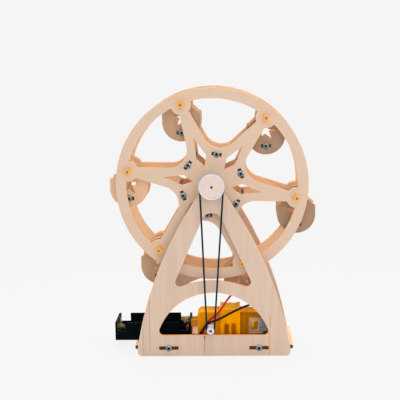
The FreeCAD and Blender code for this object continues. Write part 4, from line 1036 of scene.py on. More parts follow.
def swept(tree: Tree, path: Node, given: Any, capped: bool) -> Tree:
    """End a geometry tree with a round section that is swept along a path.

    Args:
        tree: the tree.
        path: the node that makes the path.
        given: the tree's inputs, with Radius and Sides among them.
        capped: whether the ends are closed.

    Returns:
        The tree.
    """
    section = add(tree, "GeometryNodeCurvePrimitiveCircle", {"Resolution": given["Sides"],
                                                             "Radius": given["Radius"]})
    tube = add(tree, "GeometryNodeCurveToMesh", {"Curve": path, "Profile Curve": section,
                                                 "Fill Caps": capped})
    return ended(tree, tube, given)


def coil_tree() -> Tree:
    """Make the tree that winds a wire or a thread: a spiral swept with a round section.

    Returns:
        The tree.
    """
    winding = {"Resolution": "Int", "Rotations": "Float", "Start Radius": "Float",
               "End Radius": "Float", "Height": "Float"}
    tree, given = opened("wound coil", {**winding, "Radius": "Float", "Sides": "Int"})
    spiral = add(tree, "GeometryNodeCurveSpiral", {name: given[name] for name in winding})
    return swept(tree, spiral, given, True)


def cord_tree() -> Tree:
    """Make the tree that sweeps a round section along the edges of a mesh.

    Returns:
        The tree.
    """
    tree, given = opened("round cord", {"Radius": "Float", "Sides": "Int"})
    path = add(tree, "GeometryNodeMeshToCurve", {"Mesh": given["Geometry"]})
    return swept(tree, path, given, False)


def placing_tree() -> Tree:
    """Make the tree that sets a fastener on each point, along its "facing", turned at random.

    Returns:
        The tree.
    """
    tree, given = opened("placed fasteners", {"Fastener": "Object", "Turn": "Float", "Seed": "Int"})
    facing = add(tree, "GeometryNodeInputNamedAttribute", {"Name": "facing"},
                 data_type="FLOAT_VECTOR")
    aimed = add(tree, "FunctionNodeAlignRotationToVector", {"Vector": facing}, axis="Z")
    chance = add(tree, "FunctionNodeRandomValue", {3: given["Turn"], "Seed": given["Seed"]},
                 data_type="FLOAT")
    spin = add(tree, "FunctionNodeAxisAngleToRotation", {"Axis": UP, "Angle": chance})
    turned = add(tree, "FunctionNodeRotateRotation", {"Rotation": aimed, "Rotate By": spin},
                 rotation_space="LOCAL")
    shape = add(tree, "GeometryNodeObjectInfo", {"Object": given["Fastener"]},
                transform_space="ORIGINAL")
    set_down = add(tree, "GeometryNodeInstanceOnPoints", {
        "Points": given["Geometry"], "Instance": shape.outputs["Geometry"], "Rotation": turned})
    return ended(tree, set_down, given)


def grown(tree: Tree, base: Mesh, values: Mapping[str, Any]) -> Mesh:
    """Run a geometry tree on a mesh.

    Args:
        tree: the tree.
        base: the mesh that it starts from.
        values: the tree's inputs, by name.

    Returns:
        The result as a plain mesh.
    """
    holder = linked("holder", base)
    modifier = holder.modifiers.new("shape", "NODES")
    modifier.node_group = tree
    for item in tree.interface.items_tree:
        if item.in_out == "INPUT" and item.name in values:
            modifier[item.identifier] = values[item.name]
    return baked(holder)


# ---------------------------------------------------------------- fasteners

# A pan head's outline, as shares of its height and of its radius.
PAN_HEAD: Profile = ((0.0, 0.97), (0.12, 1.0), (0.5, 0.98), (0.78, 0.87), (0.94, 0.68),
                     (1.0, 0.45), (1.0, 0.0))


@dataclass(frozen=True)
class BoltSize:
    """The sizes that all bolts of a kind share."""

    shank_radius: float = 1.25 * MM
    head_radius: float = 2.5 * MM
    head: float = 1.6 * MM


@dataclass
class Hardware:
    """Pan-head bolts with a cross recess, square nuts and small screws, with real threads.
    """

    nodes: Nodes
    usual: BoltSize = BoltSize()
    pitch: float = 0.45 * MM
    thread: float = 0.17 * MM
    thread_depth: float = 0.22 * MM
    thread_margin: float = 0.5 * MM
    point: float = 0.3 * MM
    recess_span: float = 2.7 * MM
    recess_width: float = 0.75 * MM
    recess_depth: float = 1.1 * MM
    socket_share: float = 0.36
    nut_width: float = 5.0 * MM
    nut_thickness: float = 2.0 * MM
    nut_bore: float = 1.27 * MM
    nut_wear: float = 0.2 * MM

    def __post_init__(self) -> None:
        """Make the trees once."""
        self.coil = coil_tree()
        self.placing = placing_tree()

    def bolt(self, kind: BoltSize, length: float) -> Mesh:
        """Make a bolt along Z, with the underside of its head at the origin and its shank below.

        Args:
            kind: the bolt's sizes.
            length: of the shank.

        Returns:
            The bolt's mesh.
        """
        core, head = kind.shank_radius - self.thread_depth, kind.head
        turned = Turning(segments=28)
        turned.turn([(-length, 0.0), (-length, core * 0.75), (self.point - length, core),
                     (0.0, core), *((head * up, kind.head_radius * out) for up, out in PAN_HEAD)])
        share = kind.head_radius / self.usual.head_radius
        span, width = self.recess_span * share, self.recess_width * share
        slots = [block(UP * head, (x, y, 2 * self.recess_depth * share))
                 for x, y in ((span, width), (width, span))]
        socket = Turning(segments=20)
        bottom, wide, above = head - self.recess_depth, span * self.socket_share, head * 1.5
        socket.turn([(bottom, 0.0), (bottom, wide * 0.4), (head, wide), (above, wide),
                     (above, 0.0)])
        shapes = bmesh.new()
        shapes.from_mesh(carved(turned.mesh(), *slots, socket.mesh()))
        threaded = length - 2 * self.thread_margin
        crest = kind.shank_radius - self.thread
        thread = grown(self.coil, bpy.data.meshes.new("none"), {
            "Rotations": threaded / self.pitch, "Start Radius": crest, "End Radius": crest,
            "Height": threaded, "Radius": self.thread, "Resolution": 14, "Sides": 3,
            "Finish": Finishes.zinc.material()})
        thread.transform(Matrix.Translation((0, 0, -length + self.thread_margin)))
        shapes.from_mesh(thread)
        mesh = finished(shapes, "bolt")
        # Painted shade in the cross recess and the socket of the head.
        mark_recess_shade(mesh, lambda place: 0 < place.z < head * 0.97
                    and place.xy.length < kind.head_radius * 0.6)
        return mesh

    def nut(self) -> Mesh:
        """Make a square nut about Z, with worn corners and a bore.

        Returns:
            The nut's mesh.
        """
        blank = linked("nut", block(Vector(), (self.nut_width, self.nut_width, self.nut_thickness)))
        worn = blank.modifiers.new("corners", "BEVEL")
        worn.width, worn.segments = self.nut_wear, 2
        drill = Turning(segments=24)
        over = self.nut_thickness
        drill.turn([(-over, 0.0), (-over, self.nut_bore), (over, self.nut_bore), (over, 0.0)])
        return carved(baked(blank), drill.mesh())

    def is_nut(self, size: Vector) -> bool:
        """Tell a nut from a bolt by its box."""
        return min(size) < self.nut_thickness * 1.1 and max(size) < self.nut_width * 1.5

    def islands(self, node: str) -> list[Island]:
        """Find a node's fasteners, each pointing out of its head.

        Args:
            node: the frame's node.

        Returns:
            The bolts, which point along their length, and the nuts, which point along their bore.
        """
        shapes = merged(self.nodes[node])
        found = []
        for group in parts_of(shapes):
            box = Box.around(vertex.co for vertex in group)
            is_nut = self.is_nut(box.size)
            size = list(box.size)
            facing = Vector()
            facing[size.index(min(size) if is_nut else max(size))] = 1.0
            if not is_nut:
                offsets = [vertex.co - box.centre for vertex in group]
                widest = {end: max((p - facing * p.dot(facing)).length for p in offsets
                                   if end * p.dot(facing) > max(size) * 0.4) for end in (-1, 1)}
                facing *= 1 if widest[1] > widest[-1] else -1
            found.append(Island(box.low, box.high, facing))
        shapes.free()
        return found

    def fit(self, node: str, body: str, seed: int, kind: BoltSize | None = None) -> None:
        """Replace a node's fasteners with detailed ones.

        Args:
            node: the frame's node.
            body: the body that carries it.
            seed: sets how far each recess is turned.
            kind: the bolts' sizes, where they aren't the usual ones.
        """
        kind = kind or self.usual
        kinds: dict[float, list[Island]] = {}
        for island in self.islands(node):
            kinds.setdefault(round(island.length / MM, 1), []).append(island)
        shapes = bmesh.new()
        for number, (length_mm, group) in enumerate(sorted(kinds.items())):
            length = length_mm * MM
            is_nut = length < self.nut_thickness * 1.1
            shape = self.nut() if is_nut else self.bolt(kind, length - kind.head)
            lift, turn = (0.0, 0.0) if is_nut else (length / 2 - kind.head, math.pi / 2)
            places = [(island.centre + island.facing * lift, island.facing) for island in group]
            shapes.from_mesh(self.set_down(shape, places, seed + number, turn))
        put_in(node + "_threaded", shapes, body, "zinc_steel", [Finishes.zinc], node)

    def set_down(self, shape: Mesh, places: Sequence[tuple[Vector, Vector]], seed: int,
                 turn: float) -> Mesh:
        """Set one shape at several places.

        Args:
            shape: the shape's mesh, pointing along Z.
            places: pairs of position and direction.
            seed: for the random turns.
            turn: the most that one is turned.

        Returns:
            The shapes as one mesh.
        """
        points = bpy.data.meshes.new("points")
        points.from_pydata([place for place, _ in places], [], [])
        facing = points.attributes.new("facing", "FLOAT_VECTOR", "POINT")
        for entry, (_, direction) in zip(facing.data, places):
            entry.vector = direction
        sample = linked("sample", shape)
        mesh = grown(self.placing, points, {"Fastener": sample, "Turn": turn, "Seed": seed,
                                            "Finish": Finishes.zinc.material()})
        bpy.data.objects.remove(sample)
        return mesh


# ---------------------------------------------------------------- sub-assemblies

@dataclass
class Stand:
    """The two A-frames, the base plate between them, and their bolts."""

    sheets: PlySheets
    hardware: Hardware

    def build(self) -> None:
        """Cut the plates and fit the bolts."""
        for node, finish, lie in (("front_frame", Finishes.frame_ply, Lie.UPRIGHT),
                                  ("rear_frame", Finishes.rear_ply, Lie.UPRIGHT),
                                  ("base_plate", Finishes.painted_light_charred_tab_ply, Lie.FLAT)):
            self.sheets.cut(node, "stand", "ply", finish, lie)
        self.hardware.fit("base_fasteners", "stand", 3)


@dataclass
class Wheel:
    """The two spoked plates, the braces between them, the axle and its pulley."""

    nodes: Nodes
    sheets: PlySheets
    hardware: Hardware
    drilled: float = 0.86
    drill_depth: float = 1.2 * MM
    pulley_rim: float = 0.9 * MM
    pulley_arris: float = 0.2 * MM
    pulley_step: float = 0.4 * MM
    hub: float = 3.0 * MM
    dish: float = 0.75 * MM
    bore: float = 1.01 * MM
    groove_radius: float = 0.82 * MM
    groove_sink: float = 0.85 * MM

    def build(self) -> None:
        """Cut the plates, fit the bolts and turn the pulley."""
        for node, finish, lie in (("wheel_front_plate", Finishes.wheel_ply, Lie.UPRIGHT_ACROSS),
                                  ("wheel_rear_plate", Finishes.lit_rear_wheel_ply, Lie.UPRIGHT_ACROSS),
                                  ("wheel_braces", Finishes.painted_light_charred_tab_ply, Lie.ROUND_HUB)):
            self.sheets.cut(node, "wheel", "ply", finish, lie)
        self.hardware.fit("wheel_bolts", "wheel", 11)
        self.pulley()
        self.axle()
        dress_nodes(self.nodes, Finishes.sleeve, "axle_sleeves")

    def axle(self) -> None:
        """Turn the axle, with a centre-drilled hole in each end, painted dark as painted shade."""
        box = Box.of("main_axle")
        radius, length = box.size.x / 2, box.size.y
        drill, depth = self.drilled * radius, self.drill_depth
        end = [(depth, 0.0), (depth - 0.1 * MM, drill * 0.8), (0.0, drill), (0.0, radius * 0.92),
               (0.08 * radius, radius)]
        turned = Turning(box.front, FRONT_TO_BACK, 40)
        turned.turn([*end, *((length - along, out) for along, out in reversed(end))])
        mesh = turned.mesh()
        # Painted shade in the drilled holes at the axle's ends.
        mark_recess_shade(mesh, lambda place: (place - box.front).xz.length < drill * 0.98)
        put_in("main_axle_turned", mesh, "wheel", "rod_steel", [Finishes.rod], "main_axle")

    def pulley(self) -> None:
        """Turn the large pulley: grooved rim, dished face and hub."""
        box = Box.of("wheel_pulley")
        outer, depth = box.size.z / 2, box.size.y
        belt = Box.of("drive_belt").centre.y - box.low.y
        back, rim, dish = belt * 2, outer - self.pulley_rim, self.dish
        bore, hub, arris, step = self.bore, self.hub, self.pulley_arris, self.pulley_step
        track = groove(belt, outer - self.groove_sink, self.groove_radius)
        turned = Turning(box.front, FRONT_TO_BACK, 96)
        turned.turn([(dish, bore), (dish, hub - 2 * step), (dish * 0.86, hub - step), (dish, hub),
                     (dish, rim - step), (dish * 0.6, rim - step / 4), (arris * 0.75, rim),
                     (0.0, rim + arris), (0.0, outer - arris), (arris, outer), (track[0][0], outer),
                     *track, (track[-1][0], outer), (back - arris, outer), (back, outer - arris),
                     (back, hub + arris / 2), (depth, hub), (depth, bore)], closed=True)
        mesh = turned.mesh()
        for face in mesh.polygons:
            face.material_index = int((face.center - box.front).xz.length > rim - step * 0.75)
        put_in("wheel_pulley_turned", mesh, "wheel", "pulley_white",
               [Finishes.pulley, Finishes.pulley_rim], "wheel_pulley")


@dataclass
class Cabin:
    """One hanging cabin: two panels, a seat, its bolts, and the rod with two caps it hangs on."""

    number: int
    sheets: PlySheets
    hardware: Hardware
    # Painted shade and light: the front veneer is one of the painted cabin copies, the rear one the
    # copy painted light.
    front_ply: Finish
    rear_ply: Finish = Finishes.lit_cabin_ply
    rod_radius: float = 1.0 * MM
    rod_setback: float = 0.3 * MM
    cap_length: float = 4.8 * MM
    cap_radius: float = 2.5 * MM
    cap_round: float = 0.45 * MM
    cap_arris: float = 0.1 * MM
    cap_play: float = 0.01 * MM
    lip_radius: float = 1.0 * MM
    lip_depth: float = 0.27 * MM

    def build(self) -> None:
        """Cut the plates, fit the bolts and turn the shaft."""
        label = f"cabin_{self.number}"
        for part, finish, lie in (("front_panel", self.front_ply, Lie.UPRIGHT),
                                  ("rear_panel", self.rear_ply, Lie.UPRIGHT),
                                  ("seat", Finishes.painted_light_charred_tab_ply, Lie.FLAT_ACROSS)):
            self.sheets.cut(f"{label}_{part}", label, "cabin_ply", finish, lie)
        self.hardware.fit(label + "_bolts", label, 20 + self.number)
        self.shaft(label)

    def shaft(self, label: str) -> None:
        """Turn the rod with its ends painted blue as a painted reflection, and the two push-on
        caps.

        Args:
            label: the cabin's name.
        """
        node = label + "_shaft"
        box = Box.of(node)
        half = box.size.y / 2
        end, rod = half - self.rod_setback, self.rod_radius
        cap, edge = self.cap_radius, self.cap_round
        inner, bottom, lip = half - self.cap_length, half - self.lip_depth, self.lip_radius
        turned = Turning(box.centre, FRONT_TO_BACK, 40)
        turned.turn([(-end, 0.0), (-end, rod), (end, rod), (end, 0.0)], 0)
        bore, arris = rod + self.cap_play, self.cap_arris
        for side in (-1, 1):
            outline = [(inner, bore), (inner, cap - arris), (inner + arris, cap),
                       (half - edge, cap), (half - edge * 0.3, cap - edge * 0.3),
                       (half, cap - edge), (half, lip + arris), (half - arris, lip),
                       (bottom, lip), (bottom, bore)]
            turned.turn([(side * along, out) for along, out in outline], 1, closed=True)
        mesh = turned.mesh()
        # Painted reflection: the rod's flat ends take the blue finish.
        for face in mesh.polygons:
            if face.material_index == 0 and abs(face.normal.y) > 0.9:
                face.material_index = 2
        put_in(node + "_turned", mesh, label + "_rod", "cap_orange",
               [Finishes.rod, Finishes.cap, Finishes.painted_blue_rod_end], node)


@dataclass
class BeltDrive:
    """The round rubber belt and the small pulley on the motor's output shaft."""

    nodes: Nodes
    belt_radius: float = 0.7 * MM
    steps: int = 48
    bore: float = 1.0 * MM
    edge: float = 0.35 * MM
    groove_radius: float = 0.82 * MM

    def build(self) -> None:
        """Sweep the belt and turn the pulley."""
        self.belt()
        self.drive_pulley()
        dress_nodes(self.nodes, Finishes.set_screw, "pulley_screw")

    def belt(self) -> None:
        """Sweep the belt along two arcs and the straight strands between them."""
        box = Box.of("drive_belt")
        large, small = Box.of("wheel_pulley").centre, Box.of("drive_pulley").centre
        large.y = small.y = box.centre.y
        large_radius = box.high.z - self.belt_radius - large.z
        small_radius = small.z - box.low.z - self.belt_radius
        span = large - small
        up = span.normalized()
        side = Vector((up.z, 0, -up.x))
        lean = math.asin((large_radius - small_radius) / span.length)
        path = []
        for centre, radius, start, end in (
                (large, large_radius, -lean, math.pi + lean),
                (small, small_radius, math.pi + lean, 2 * math.pi - lean)):
            for i in range(self.steps + 1):
                angle = start + (end - start) * i / self.steps
                path.append(centre + (side * math.cos(angle) + up * math.sin(angle)) * radius)
        mesh = bpy.data.meshes.new("belt_path")
        mesh.from_pydata(path, [(i, (i + 1) % len(path)) for i in range(len(path))], [])
        cord = grown(cord_tree(), mesh, {"Radius": self.belt_radius, "Sides": 14,
                                         "Finish": Finishes.belt.material()})
        put_in("drive_belt_cord", cord, "stand", "belt_rubber", [Finishes.belt], "drive_belt")

    def drive_pulley(self) -> None:
        """Turn the small pulley, with a rounded groove and a bore for the shaft."""
        box = Box.of("drive_pulley")
        outer, depth, bore, edge = box.size.z / 2, box.size.y, self.bore, self.edge
        track = groove(Box.of("drive_belt").centre.y - box.low.y, outer, self.groove_radius)
        turned = Turning(box.front, FRONT_TO_BACK, 56)
        turned.turn([(edge, bore), (0.0, bore + edge), (0.0, outer - edge), (edge, outer), *track,
                     (depth, outer), (depth, bore)], closed=True)
        put_in("drive_pulley_turned", turned.mesh(), "drive", "pulley_white",
               [Finishes.pulley_rim], "drive_pulley")


@dataclass
class GearedMotor:
    """The hobby gear motor, its bracket and the clear strap that holds the can."""

    nodes: Nodes
    hardware: Hardware
    screw: BoltSize = BoltSize(1.0 * MM, 1.9 * MM, 1.2 * MM)
    shell_round: float = 0.8 * MM
    pocket_depth: float = 1.4 * MM
    bracket_wall: float = 2.5 * MM
    ridge: float = 1.7 * MM
    strap_round: float = 0.2 * MM
    pip_place: tuple[float, float] = (22.2 * MM, 31.7 * MM)
    pip_radius: float = 0.7 * MM
    pip_height: float = 0.17 * MM

    def build(self) -> None:
        """Dress the mouldings, gears and can, and fit the screws."""
        self.shell("gearbox_front_shell", -FRONT_TO_BACK)
        self.shell("gearbox_rear_shell", FRONT_TO_BACK)
        self.bracket()
        self.strap()
        self.red_dot()
        dress_nodes(self.nodes, Finishes.gear, "output_shaft", "output_gear", "idler_gear",
                    "crown_gear")
        dress_nodes(self.nodes, Finishes.can, "motor_can", "motor_rotor")
        dress_nodes(self.nodes, Finishes.end_cap, "motor_end_cap")
        self.hardware.fit("gearbox_screws", "stand", 40, self.screw)

    def shell(self, node: str, facing: Vector) -> None:
        """Round the outline of one half of the gearbox, and part off the cage, which has painted
        shade.

        Args:
            node: the frame's node.
            facing: the way that its flat face looks.
        """
        shapes = flattened(merged(self.nodes[node]))
        round_edges(shapes, outline_edges(shapes, facing, self.shell_round), self.shell_round, 3)
        # Painted shade: right of the bracket the shell takes a darker yellow.
        painted_shade_from = Box.of("motor_bracket").high.x - self.ridge / 2
        bmesh.ops.bisect_plane(shapes, geom=[*shapes.verts, *shapes.edges, *shapes.faces],
                               plane_co=(painted_shade_from, 0, 0), plane_no=RIGHT)
        for face in shapes.faces:
            face.material_index = int(face.calc_center_median().x > painted_shade_from)
        put_in(node + "_moulded", shapes, "stand", "gearbox_yellow",
               [Finishes.yellow, Finishes.painted_shade_cage], node)

    def bracket(self) -> None:
        """Colour the bracket, with painted shade on the floors of its pockets."""
        shapes = flattened(merged(self.nodes["motor_bracket"]))
        floor = Box.of("motor_bracket").low.y + self.pocket_depth
        # Painted shade: the floors of the pockets take a brown copy of the yellow.
        for face in shapes.faces:
            at_floor = abs(face.calc_center_median().y - floor) < 0.2 * MM
            face.material_index = int(face.normal.y < -0.9 and at_floor)
        put_in("motor_bracket_moulded", shapes, "stand", "gearbox_yellow",
               [Finishes.bracket, Finishes.pocket_shade], "motor_bracket")

    def strap(self) -> None:
        """Round every edge of the clear strap, for a painted highlight along them."""
        shapes = flattened(merged(self.nodes["motor_strap"]))
        sharp = [edge for edge in shapes.edges
                 if len(edge.link_faces) == 2 and edge.calc_face_angle() > math.radians(50)]
        # Painted highlight: the rounded edges take the milky white finish.
        round_edges(shapes, sharp, self.strap_round, 2, 1)
        put_in("motor_strap_bent", shapes, "stand", "strap_clear",
               [Finishes.strap, Finishes.strap_edge_highlight], "motor_strap")

    def red_dot(self) -> None:
        """Set the small raised red-brown dot on the front shell."""
        x, z = self.pip_place
        face = Box.of("motor_bracket").low.y + self.bracket_wall
        foot, radius, top = -0.1 * MM, self.pip_radius, self.pip_height
        turned = Turning(Vector((x, face, z)), -FRONT_TO_BACK, 20)
        turned.turn([(foot, 0.0), (foot, radius), (0.05 * MM, radius),
                     (top - 0.02 * MM, radius * 0.7), (top, 0.0)])
        put_in("gearbox_gate_mark", turned.mesh(), "stand", "gearbox_yellow", [Finishes.red_dot])


@dataclass
class BatteryBox:
    """The open holder for two round cells, with a coil spring and a button plate in each bay."""

    nodes: Nodes
    hardware: Hardware
    corner: float = 1.0 * MM
    plate: float = 0.4 * MM
    plate_rise: float = 2.9 * MM
    plate_round: float = 0.8 * MM
    wide: float = 3.6 * MM
    tip: float = 2.2 * MM
    wire: float = 0.33 * MM
    turns: float = 4.25
    button: float = 1.7 * MM
    stub_foot: Place = (-21.9 * MM, -6.7 * MM, 13.2 * MM)
    stub_height: float = 4.8 * MM
    stub_radius: float = 0.7 * MM

    def build(self) -> None:
        """Make the holder, its contacts and the end of the red wire that shows in it."""
        self.holder()
        self.contacts()
        self.stub()

    def holder(self) -> None:
        """Round the upright corners of the holder."""
        box = Box.of("battery_holder")
        shapes = flattened(merged(self.nodes["battery_holder"]))
        near = 0.01 * MM
        upright = []
        for edge in shapes.edges:
            first, second = (vertex.co for vertex in edge.verts)
            middle = (first + second) / 2
            at_corner = all(min(abs(middle[i] - side[i]) for side in (box.low, box.high)) < near
                            for i in (0, 1))
            if at_corner and abs(first.z - second.z) > near:
                upright.append(edge)
        round_edges(shapes, upright, self.corner, 4)
        put_in("battery_holder_moulded", shapes, "stand", "holder_black", [Finishes.black],
               "battery_holder")

    def contacts(self) -> None:
        """Press the plates and wind the springs, each against its end wall."""
        joined = merged(self.nodes["battery_contacts"])
        boxes = [Box.around(vertex.co for vertex in group) for group in parts_of(joined)]
        joined.free()
        middle = sum((box.centre for box in boxes), Vector()) / len(boxes)
        axis_z = max(box.high.z for box in boxes) - self.wide
        shapes = bmesh.new()
        for box in boxes:
            inward = RIGHT if box.high.x < middle.x else -RIGHT
            wall = box.low.x if inward.x > 0 else box.high.x
            height = min(box.high.z, axis_z + self.plate_rise) - box.low.z
            middle_x = wall + inward.x * self.plate / 2
            self.pressed(shapes, Vector((middle_x, box.centre.y, box.low.z + height / 2)),
                         (self.plate, box.size.y, height))
            base = Vector((wall, box.centre.y, axis_z)) + inward * self.plate
            reach = box.size.x - self.plate
            shapes.from_mesh(self.spring(base, inward, reach) if reach > self.plate
                             else self.knob(base, inward))
        put_in("battery_contacts_wound", shapes, "stand", "contact_steel", [Finishes.nickel],
               "battery_contacts")

    def pressed(self, shapes: Shape, centre: Vector, size: Place) -> None:
        """Add a contact's plate with rounded corners.

        Args:
            shapes: the working mesh.
            centre: the plate's middle.
            size: its size along each axis.
        """
        edges = {edge for vertex in add_block(shapes, centre, size) for edge in vertex.link_edges
                 if abs((edge.verts[0].co - edge.verts[1].co).x) > 0.1 * MM}
        round_edges(shapes, edges, self.plate_round, 3)

    def spring(self, base: Vector, inward: Vector, reach: float) -> Mesh:
        """Wind a spring that narrows from its plate to its tip.

        Args:
            base: where it leaves the plate.
            inward: the way that it points.
            reach: how far it stands out.

        Returns:
            The spring's mesh.
        """
        coil = grown(self.hardware.coil, bpy.data.meshes.new("none"), {
            "Rotations": self.turns, "Start Radius": self.wide - self.wire,
            "End Radius": self.tip - self.wire, "Height": reach - 2 * self.wire,
            "Radius": self.wire, "Resolution": 28, "Sides": 8,
            "Finish": Finishes.nickel.material()})
        turn = inward.to_track_quat("Z", "Y").to_matrix().to_4x4()
        coil.transform(Matrix.Translation(base + inward * self.wire) @ turn)
        return coil

    def knob(self, base: Vector, inward: Vector) -> Mesh:
        """Press the button that touches a cell's cap.

        Args:
            base: its middle on the plate.
            inward: the way that it points.

        Returns:
            The button's mesh.
        """
        foot, radius = -0.1 * MM, self.button
        turned = Turning(base, inward, 24)
        turned.turn([(foot, 0.0), (foot, radius), (0.5 * MM, radius), (0.8 * MM, radius * 0.8),
                     (0.85 * MM, 0.0)])
        return turned.mesh()

    def stub(self) -> None:
        """Stand the end of the red wire against the right-hand contact."""
        height, radius, arris = self.stub_height, self.stub_radius, 0.15 * MM
        turned = Turning(Vector(self.stub_foot), UP, 20)
        turned.turn([(0.0, 0.0), (0.0, radius * 0.8), (arris, radius), (height - arris, radius),
                     (height, radius * 0.8), (height, 0.0)])
        put_in("red_wire_end", turned.mesh(), "stand", "lead_red", [Finishes.red_pvc])


@dataclass
class Lead:
    """An insulated lead from the battery holder to a motor terminal."""

    name: str
    slot: str
    finish: Finish
    route: Sequence[Place]
    length: float
    radius: float = 0.8 * MM

    def build(self) -> None:
        """Bend the lead along its route, as a curve with a round section."""
        curve = bpy.data.curves.new(self.name + "_wire", "CURVE")
        curve.dimensions = "3D"
        curve.bevel_depth = self.radius
        curve.bevel_resolution = 4
        curve.resolution_u = 10
        curve.use_fill_caps = True
        spline = curve.splines.new("NURBS")
        spline.points.add(len(self.route) - 1)
        for point, place in zip(spline.points, self.route):
            point.co = (*place, 1.0)
        spline.order_u = 3
        spline.use_endpoint_u = True
        spline.use_smooth = True
        curve.materials.append(self.finish.material())
        piece = linked(self.name + "_wire", curve)
        mount(piece, "stand", self.slot, self.name)


RED_ROUTE: Sequence[Place] = (
    (-0.0188, -0.0042, 0.0100), (-0.0158, -0.0042, 0.0100), (-0.0132, -0.0064, 0.0099),
    (-0.0126, -0.0106, 0.0098), (-0.0130, -0.0152, 0.0098), (-0.0135, -0.0198, 0.0100),
    (-0.0118, -0.0235, 0.0120), (-0.0089, -0.0246, 0.0158), (-0.0074, -0.0245, 0.0207),
    (-0.0052, -0.0243, 0.0256), (-0.0010, -0.0245, 0.0293), (0.0036, -0.0253, 0.0332),
    (0.0072, -0.0257, 0.0382), (0.0106, -0.0257, 0.0436), (0.0149, -0.0256, 0.0489),
    (0.0206, -0.0255, 0.0530), (0.0274, -0.0254, 0.0556), (0.0342, -0.0250, 0.0552),
    (0.0400, -0.0240, 0.0516), (0.0448, -0.0228, 0.0464), (0.0492, -0.0218, 0.0409),
    (0.0522, -0.0208, 0.0362), (0.0539, -0.0190, 0.0318), (0.0546, -0.0159, 0.0288),
    (0.0546, -0.01235, 0.0288))
BLACK_ROUTE: Sequence[Place] = (
    (-0.0188, -0.0090, 0.0103), (-0.0168, -0.0090, 0.0103), (-0.0152, -0.0108, 0.0102),
    (-0.0149, -0.0144, 0.0100), (-0.0156, -0.0196, 0.0103), (-0.0141, -0.0239, 0.0124),
    (-0.0110, -0.0260, 0.0162), (-0.0083, -0.0263, 0.0206), (-0.0056, -0.0263, 0.0246),
    (-0.0014, -0.0262, 0.0265), (0.0036, -0.0260, 0.0280), (0.0096, -0.0258, 0.0312),
    (0.0186, -0.0257, 0.0360), (0.0286, -0.0256, 0.0402), (0.0380, -0.0250, 0.0412),
    (0.0454, -0.0236, 0.0382), (0.0509, -0.0228, 0.0324), (0.0542, -0.0222, 0.0250),
    (0.0551, -0.0205, 0.0190), (0.0546, -0.0164, 0.0152), (0.0546, -0.01235, 0.0152))


# ---------------------------------------------------------------- studio

@dataclass(frozen=True)
class Lamp:
    """A soft square lamp: where it hangs and its side, in metres, and its power in watts."""

    name: str
    place: Place
    side: float
    power: float

    def hang(self, target: Vector) -> None:
        """Hang the lamp.

        Args:
            target: what it points at.
        """
        data = bpy.data.lights.new(self.name, "AREA")
        data.size, data.energy = self.side, self.power
        lamp = linked(self.name, data)
        lamp.location = self.place
        lamp.rotation_mode = "QUATERNION"
        lamp.rotation_quaternion = (target - Vector(self.place)).to_track_quat("-Z", "Y")


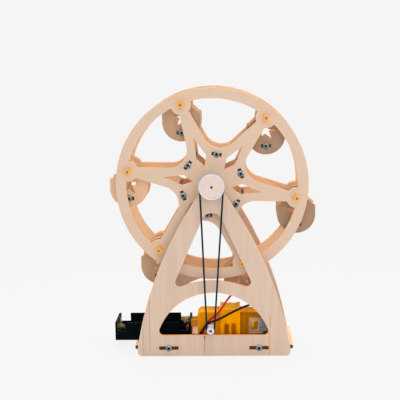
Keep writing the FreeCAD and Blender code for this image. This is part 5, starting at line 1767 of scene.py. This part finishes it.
@dataclass
class Studio:
    """Plain pale floor, soft lamps and the camera."""

    backdrop: str = "#F5F5F5"
    ambient: float = 0.25
    shadow_share: float = 0.07
    shadow_reach: tuple[float, float] = (0.12, 0.45)
    floor_half: float = 6.0
    target: Vector = field(default_factory=lambda: UP * 0.1)
    lamps: tuple[Lamp, ...] = (
        Lamp("key", (-0.35, -0.85, 1.1), 1.0, 2.6), Lamp("front", (0.3, -0.95, 0.5), 1.1, 5.3),
        Lamp("top", (0.05, 0.15, 1.3), 0.8, 8.0), Lamp("back", (0.0, 0.8, 0.85), 0.5, 4.0),
        Lamp("left", (-0.95, 0.0, 0.45), 0.5, 4.2), Lamp("right", (0.95, 0.0, 0.45), 0.5, 4.2))
    eye: Place = (0.022816, -0.833939, 0.244374)
    yaw_deg: float = 2.272
    pitch_deg: float = 8.513
    roll_deg: float = -0.905
    lens_mm: float = 95.153
    sensor_mm: float = 36.0

    def build(self) -> None:
        """Set up the floor, the world, the lamps and the camera."""
        self.world()
        self.floor()
        for lamp in self.lamps:
            lamp.hang(self.target)
        self.camera()
        bpy.context.scene.view_settings.view_transform = "Standard"

    def seen(self, tree: Tree) -> Node:
        """Find out whether a ray comes from the camera, or by way of metal or glass.

        Args:
            tree: the node tree.

        Returns:
            1 where it does, and else 0.
        """
        path = add(tree, "ShaderNodeLightPath").outputs
        seen: Any = path["Is Camera Ray"]
        for kind in ("Is Glossy Ray", "Is Transmission Ray"):
            seen = add(tree, MATH, {0: seen, 1: path[kind]}, operation="MAXIMUM")
        return seen

    def world(self) -> None:
        """Light everything evenly, and show the backdrop's colour."""
        world = bpy.data.worlds.new("studio")
        bpy.context.scene.world = world
        tree = emptied(world)
        light = add(tree, "ShaderNodeBackground", {"Color": WHITE, "Strength": self.ambient})
        shown = add(tree, "ShaderNodeBackground", {"Color": self.backdrop, "Strength": 1.0})
        both = add(tree, "ShaderNodeMixShader", {0: self.seen(tree), 1: light, 2: shown})
        add(tree, "ShaderNodeOutputWorld", {"Surface": both})

    def floor(self) -> None:
        """Lay a wide pale floor that keeps a faint shadow near the toy."""
        shapes = bmesh.new()
        bmesh.ops.create_grid(shapes, x_segments=1, y_segments=1, size=self.floor_half)
        floor = linked("floor", finished(shapes, "floor"))
        finish = bpy.data.materials.new("matt paper floor")
        tree = emptied(finish)
        paper = add(tree, "ShaderNodeBsdfDiffuse", {"Color": self.backdrop})
        shown = add(tree, "ShaderNodeEmission", {"Color": self.backdrop, "Strength": 1.0})
        place = add(tree, "ShaderNodeTexCoord").outputs["Object"]
        reach = add(tree, "ShaderNodeVectorMath", {0: place}, operation="LENGTH")
        near, far = self.shadow_reach
        plain = add(tree, RANGE, {"Value": reach, "From Min": near, "From Max": far,
                                  "To Min": 1 - self.shadow_share, "To Max": 1.0})
        share = add(tree, MATH, {0: self.seen(tree), 1: plain}, operation="MULTIPLY")
        both = add(tree, "ShaderNodeMixShader", {0: share, 1: paper, 2: shown})
        add(tree, "ShaderNodeOutputMaterial", {"Surface": both})
        floor.data.materials.append(finish)

    def camera(self) -> None:
        """Set the camera at the viewing angle."""
        yaw, pitch, roll = (math.radians(v) for v in (self.yaw_deg, self.pitch_deg, self.roll_deg))
        level = Vector((math.cos(yaw), math.sin(yaw), 0))
        ahead = UP.cross(level) * math.cos(pitch) - UP * math.sin(pitch)
        top = level.cross(ahead)
        right = level * math.cos(roll) + top * math.sin(roll)
        up = top * math.cos(roll) - level * math.sin(roll)
        data = bpy.data.cameras.new("camera")
        data.lens, data.sensor_width = self.lens_mm, self.sensor_mm
        data.clip_start, data.clip_end = 0.05, 20.0
        camera = linked("camera", data)
        turn = Matrix((right, up, -ahead)).transposed().to_4x4()
        camera.matrix_world = Matrix.Translation(self.eye) @ turn
        bpy.context.scene.camera = camera


def main() -> None:
    """Build the toy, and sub-assembly by sub-assembly."""
    logging.basicConfig(level=logging.INFO, format="%(message)s")
    for unused in list(bpy.data.objects):
        bpy.data.objects.remove(unused)
    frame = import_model()
    nodes = frame["nodes"]
    sheets = PlySheets(nodes)
    hardware = Hardware(nodes)
    Studio().build()
    Lead("red_lead", "lead_red", Finishes.red_pvc, RED_ROUTE, 0.1305).build()
    Lead("black_lead", "lead_black", Finishes.black_pvc, BLACK_ROUTE, 0.1196).build()
    Stand(sheets, hardware).build()
    Wheel(nodes, sheets, hardware).build()
    # Cabins 1 and 2 get the deepest painted shade, cabin 4 the copy painted light, the others the
    # plain painted shade.
    plain, pale, tan = Finishes.cabin_ply, Finishes.lit_cabin_ply, Finishes.deep_shade_cabin_ply
    for number, veneer in enumerate((tan, tan, plain, pale, plain, plain), 1):
        Cabin(number, sheets, hardware, veneer).build()
    BeltDrive(nodes).build()
    GearedMotor(nodes, hardware).build()
    BatteryBox(nodes, hardware).build()


if __name__ == "__main__":
    main()
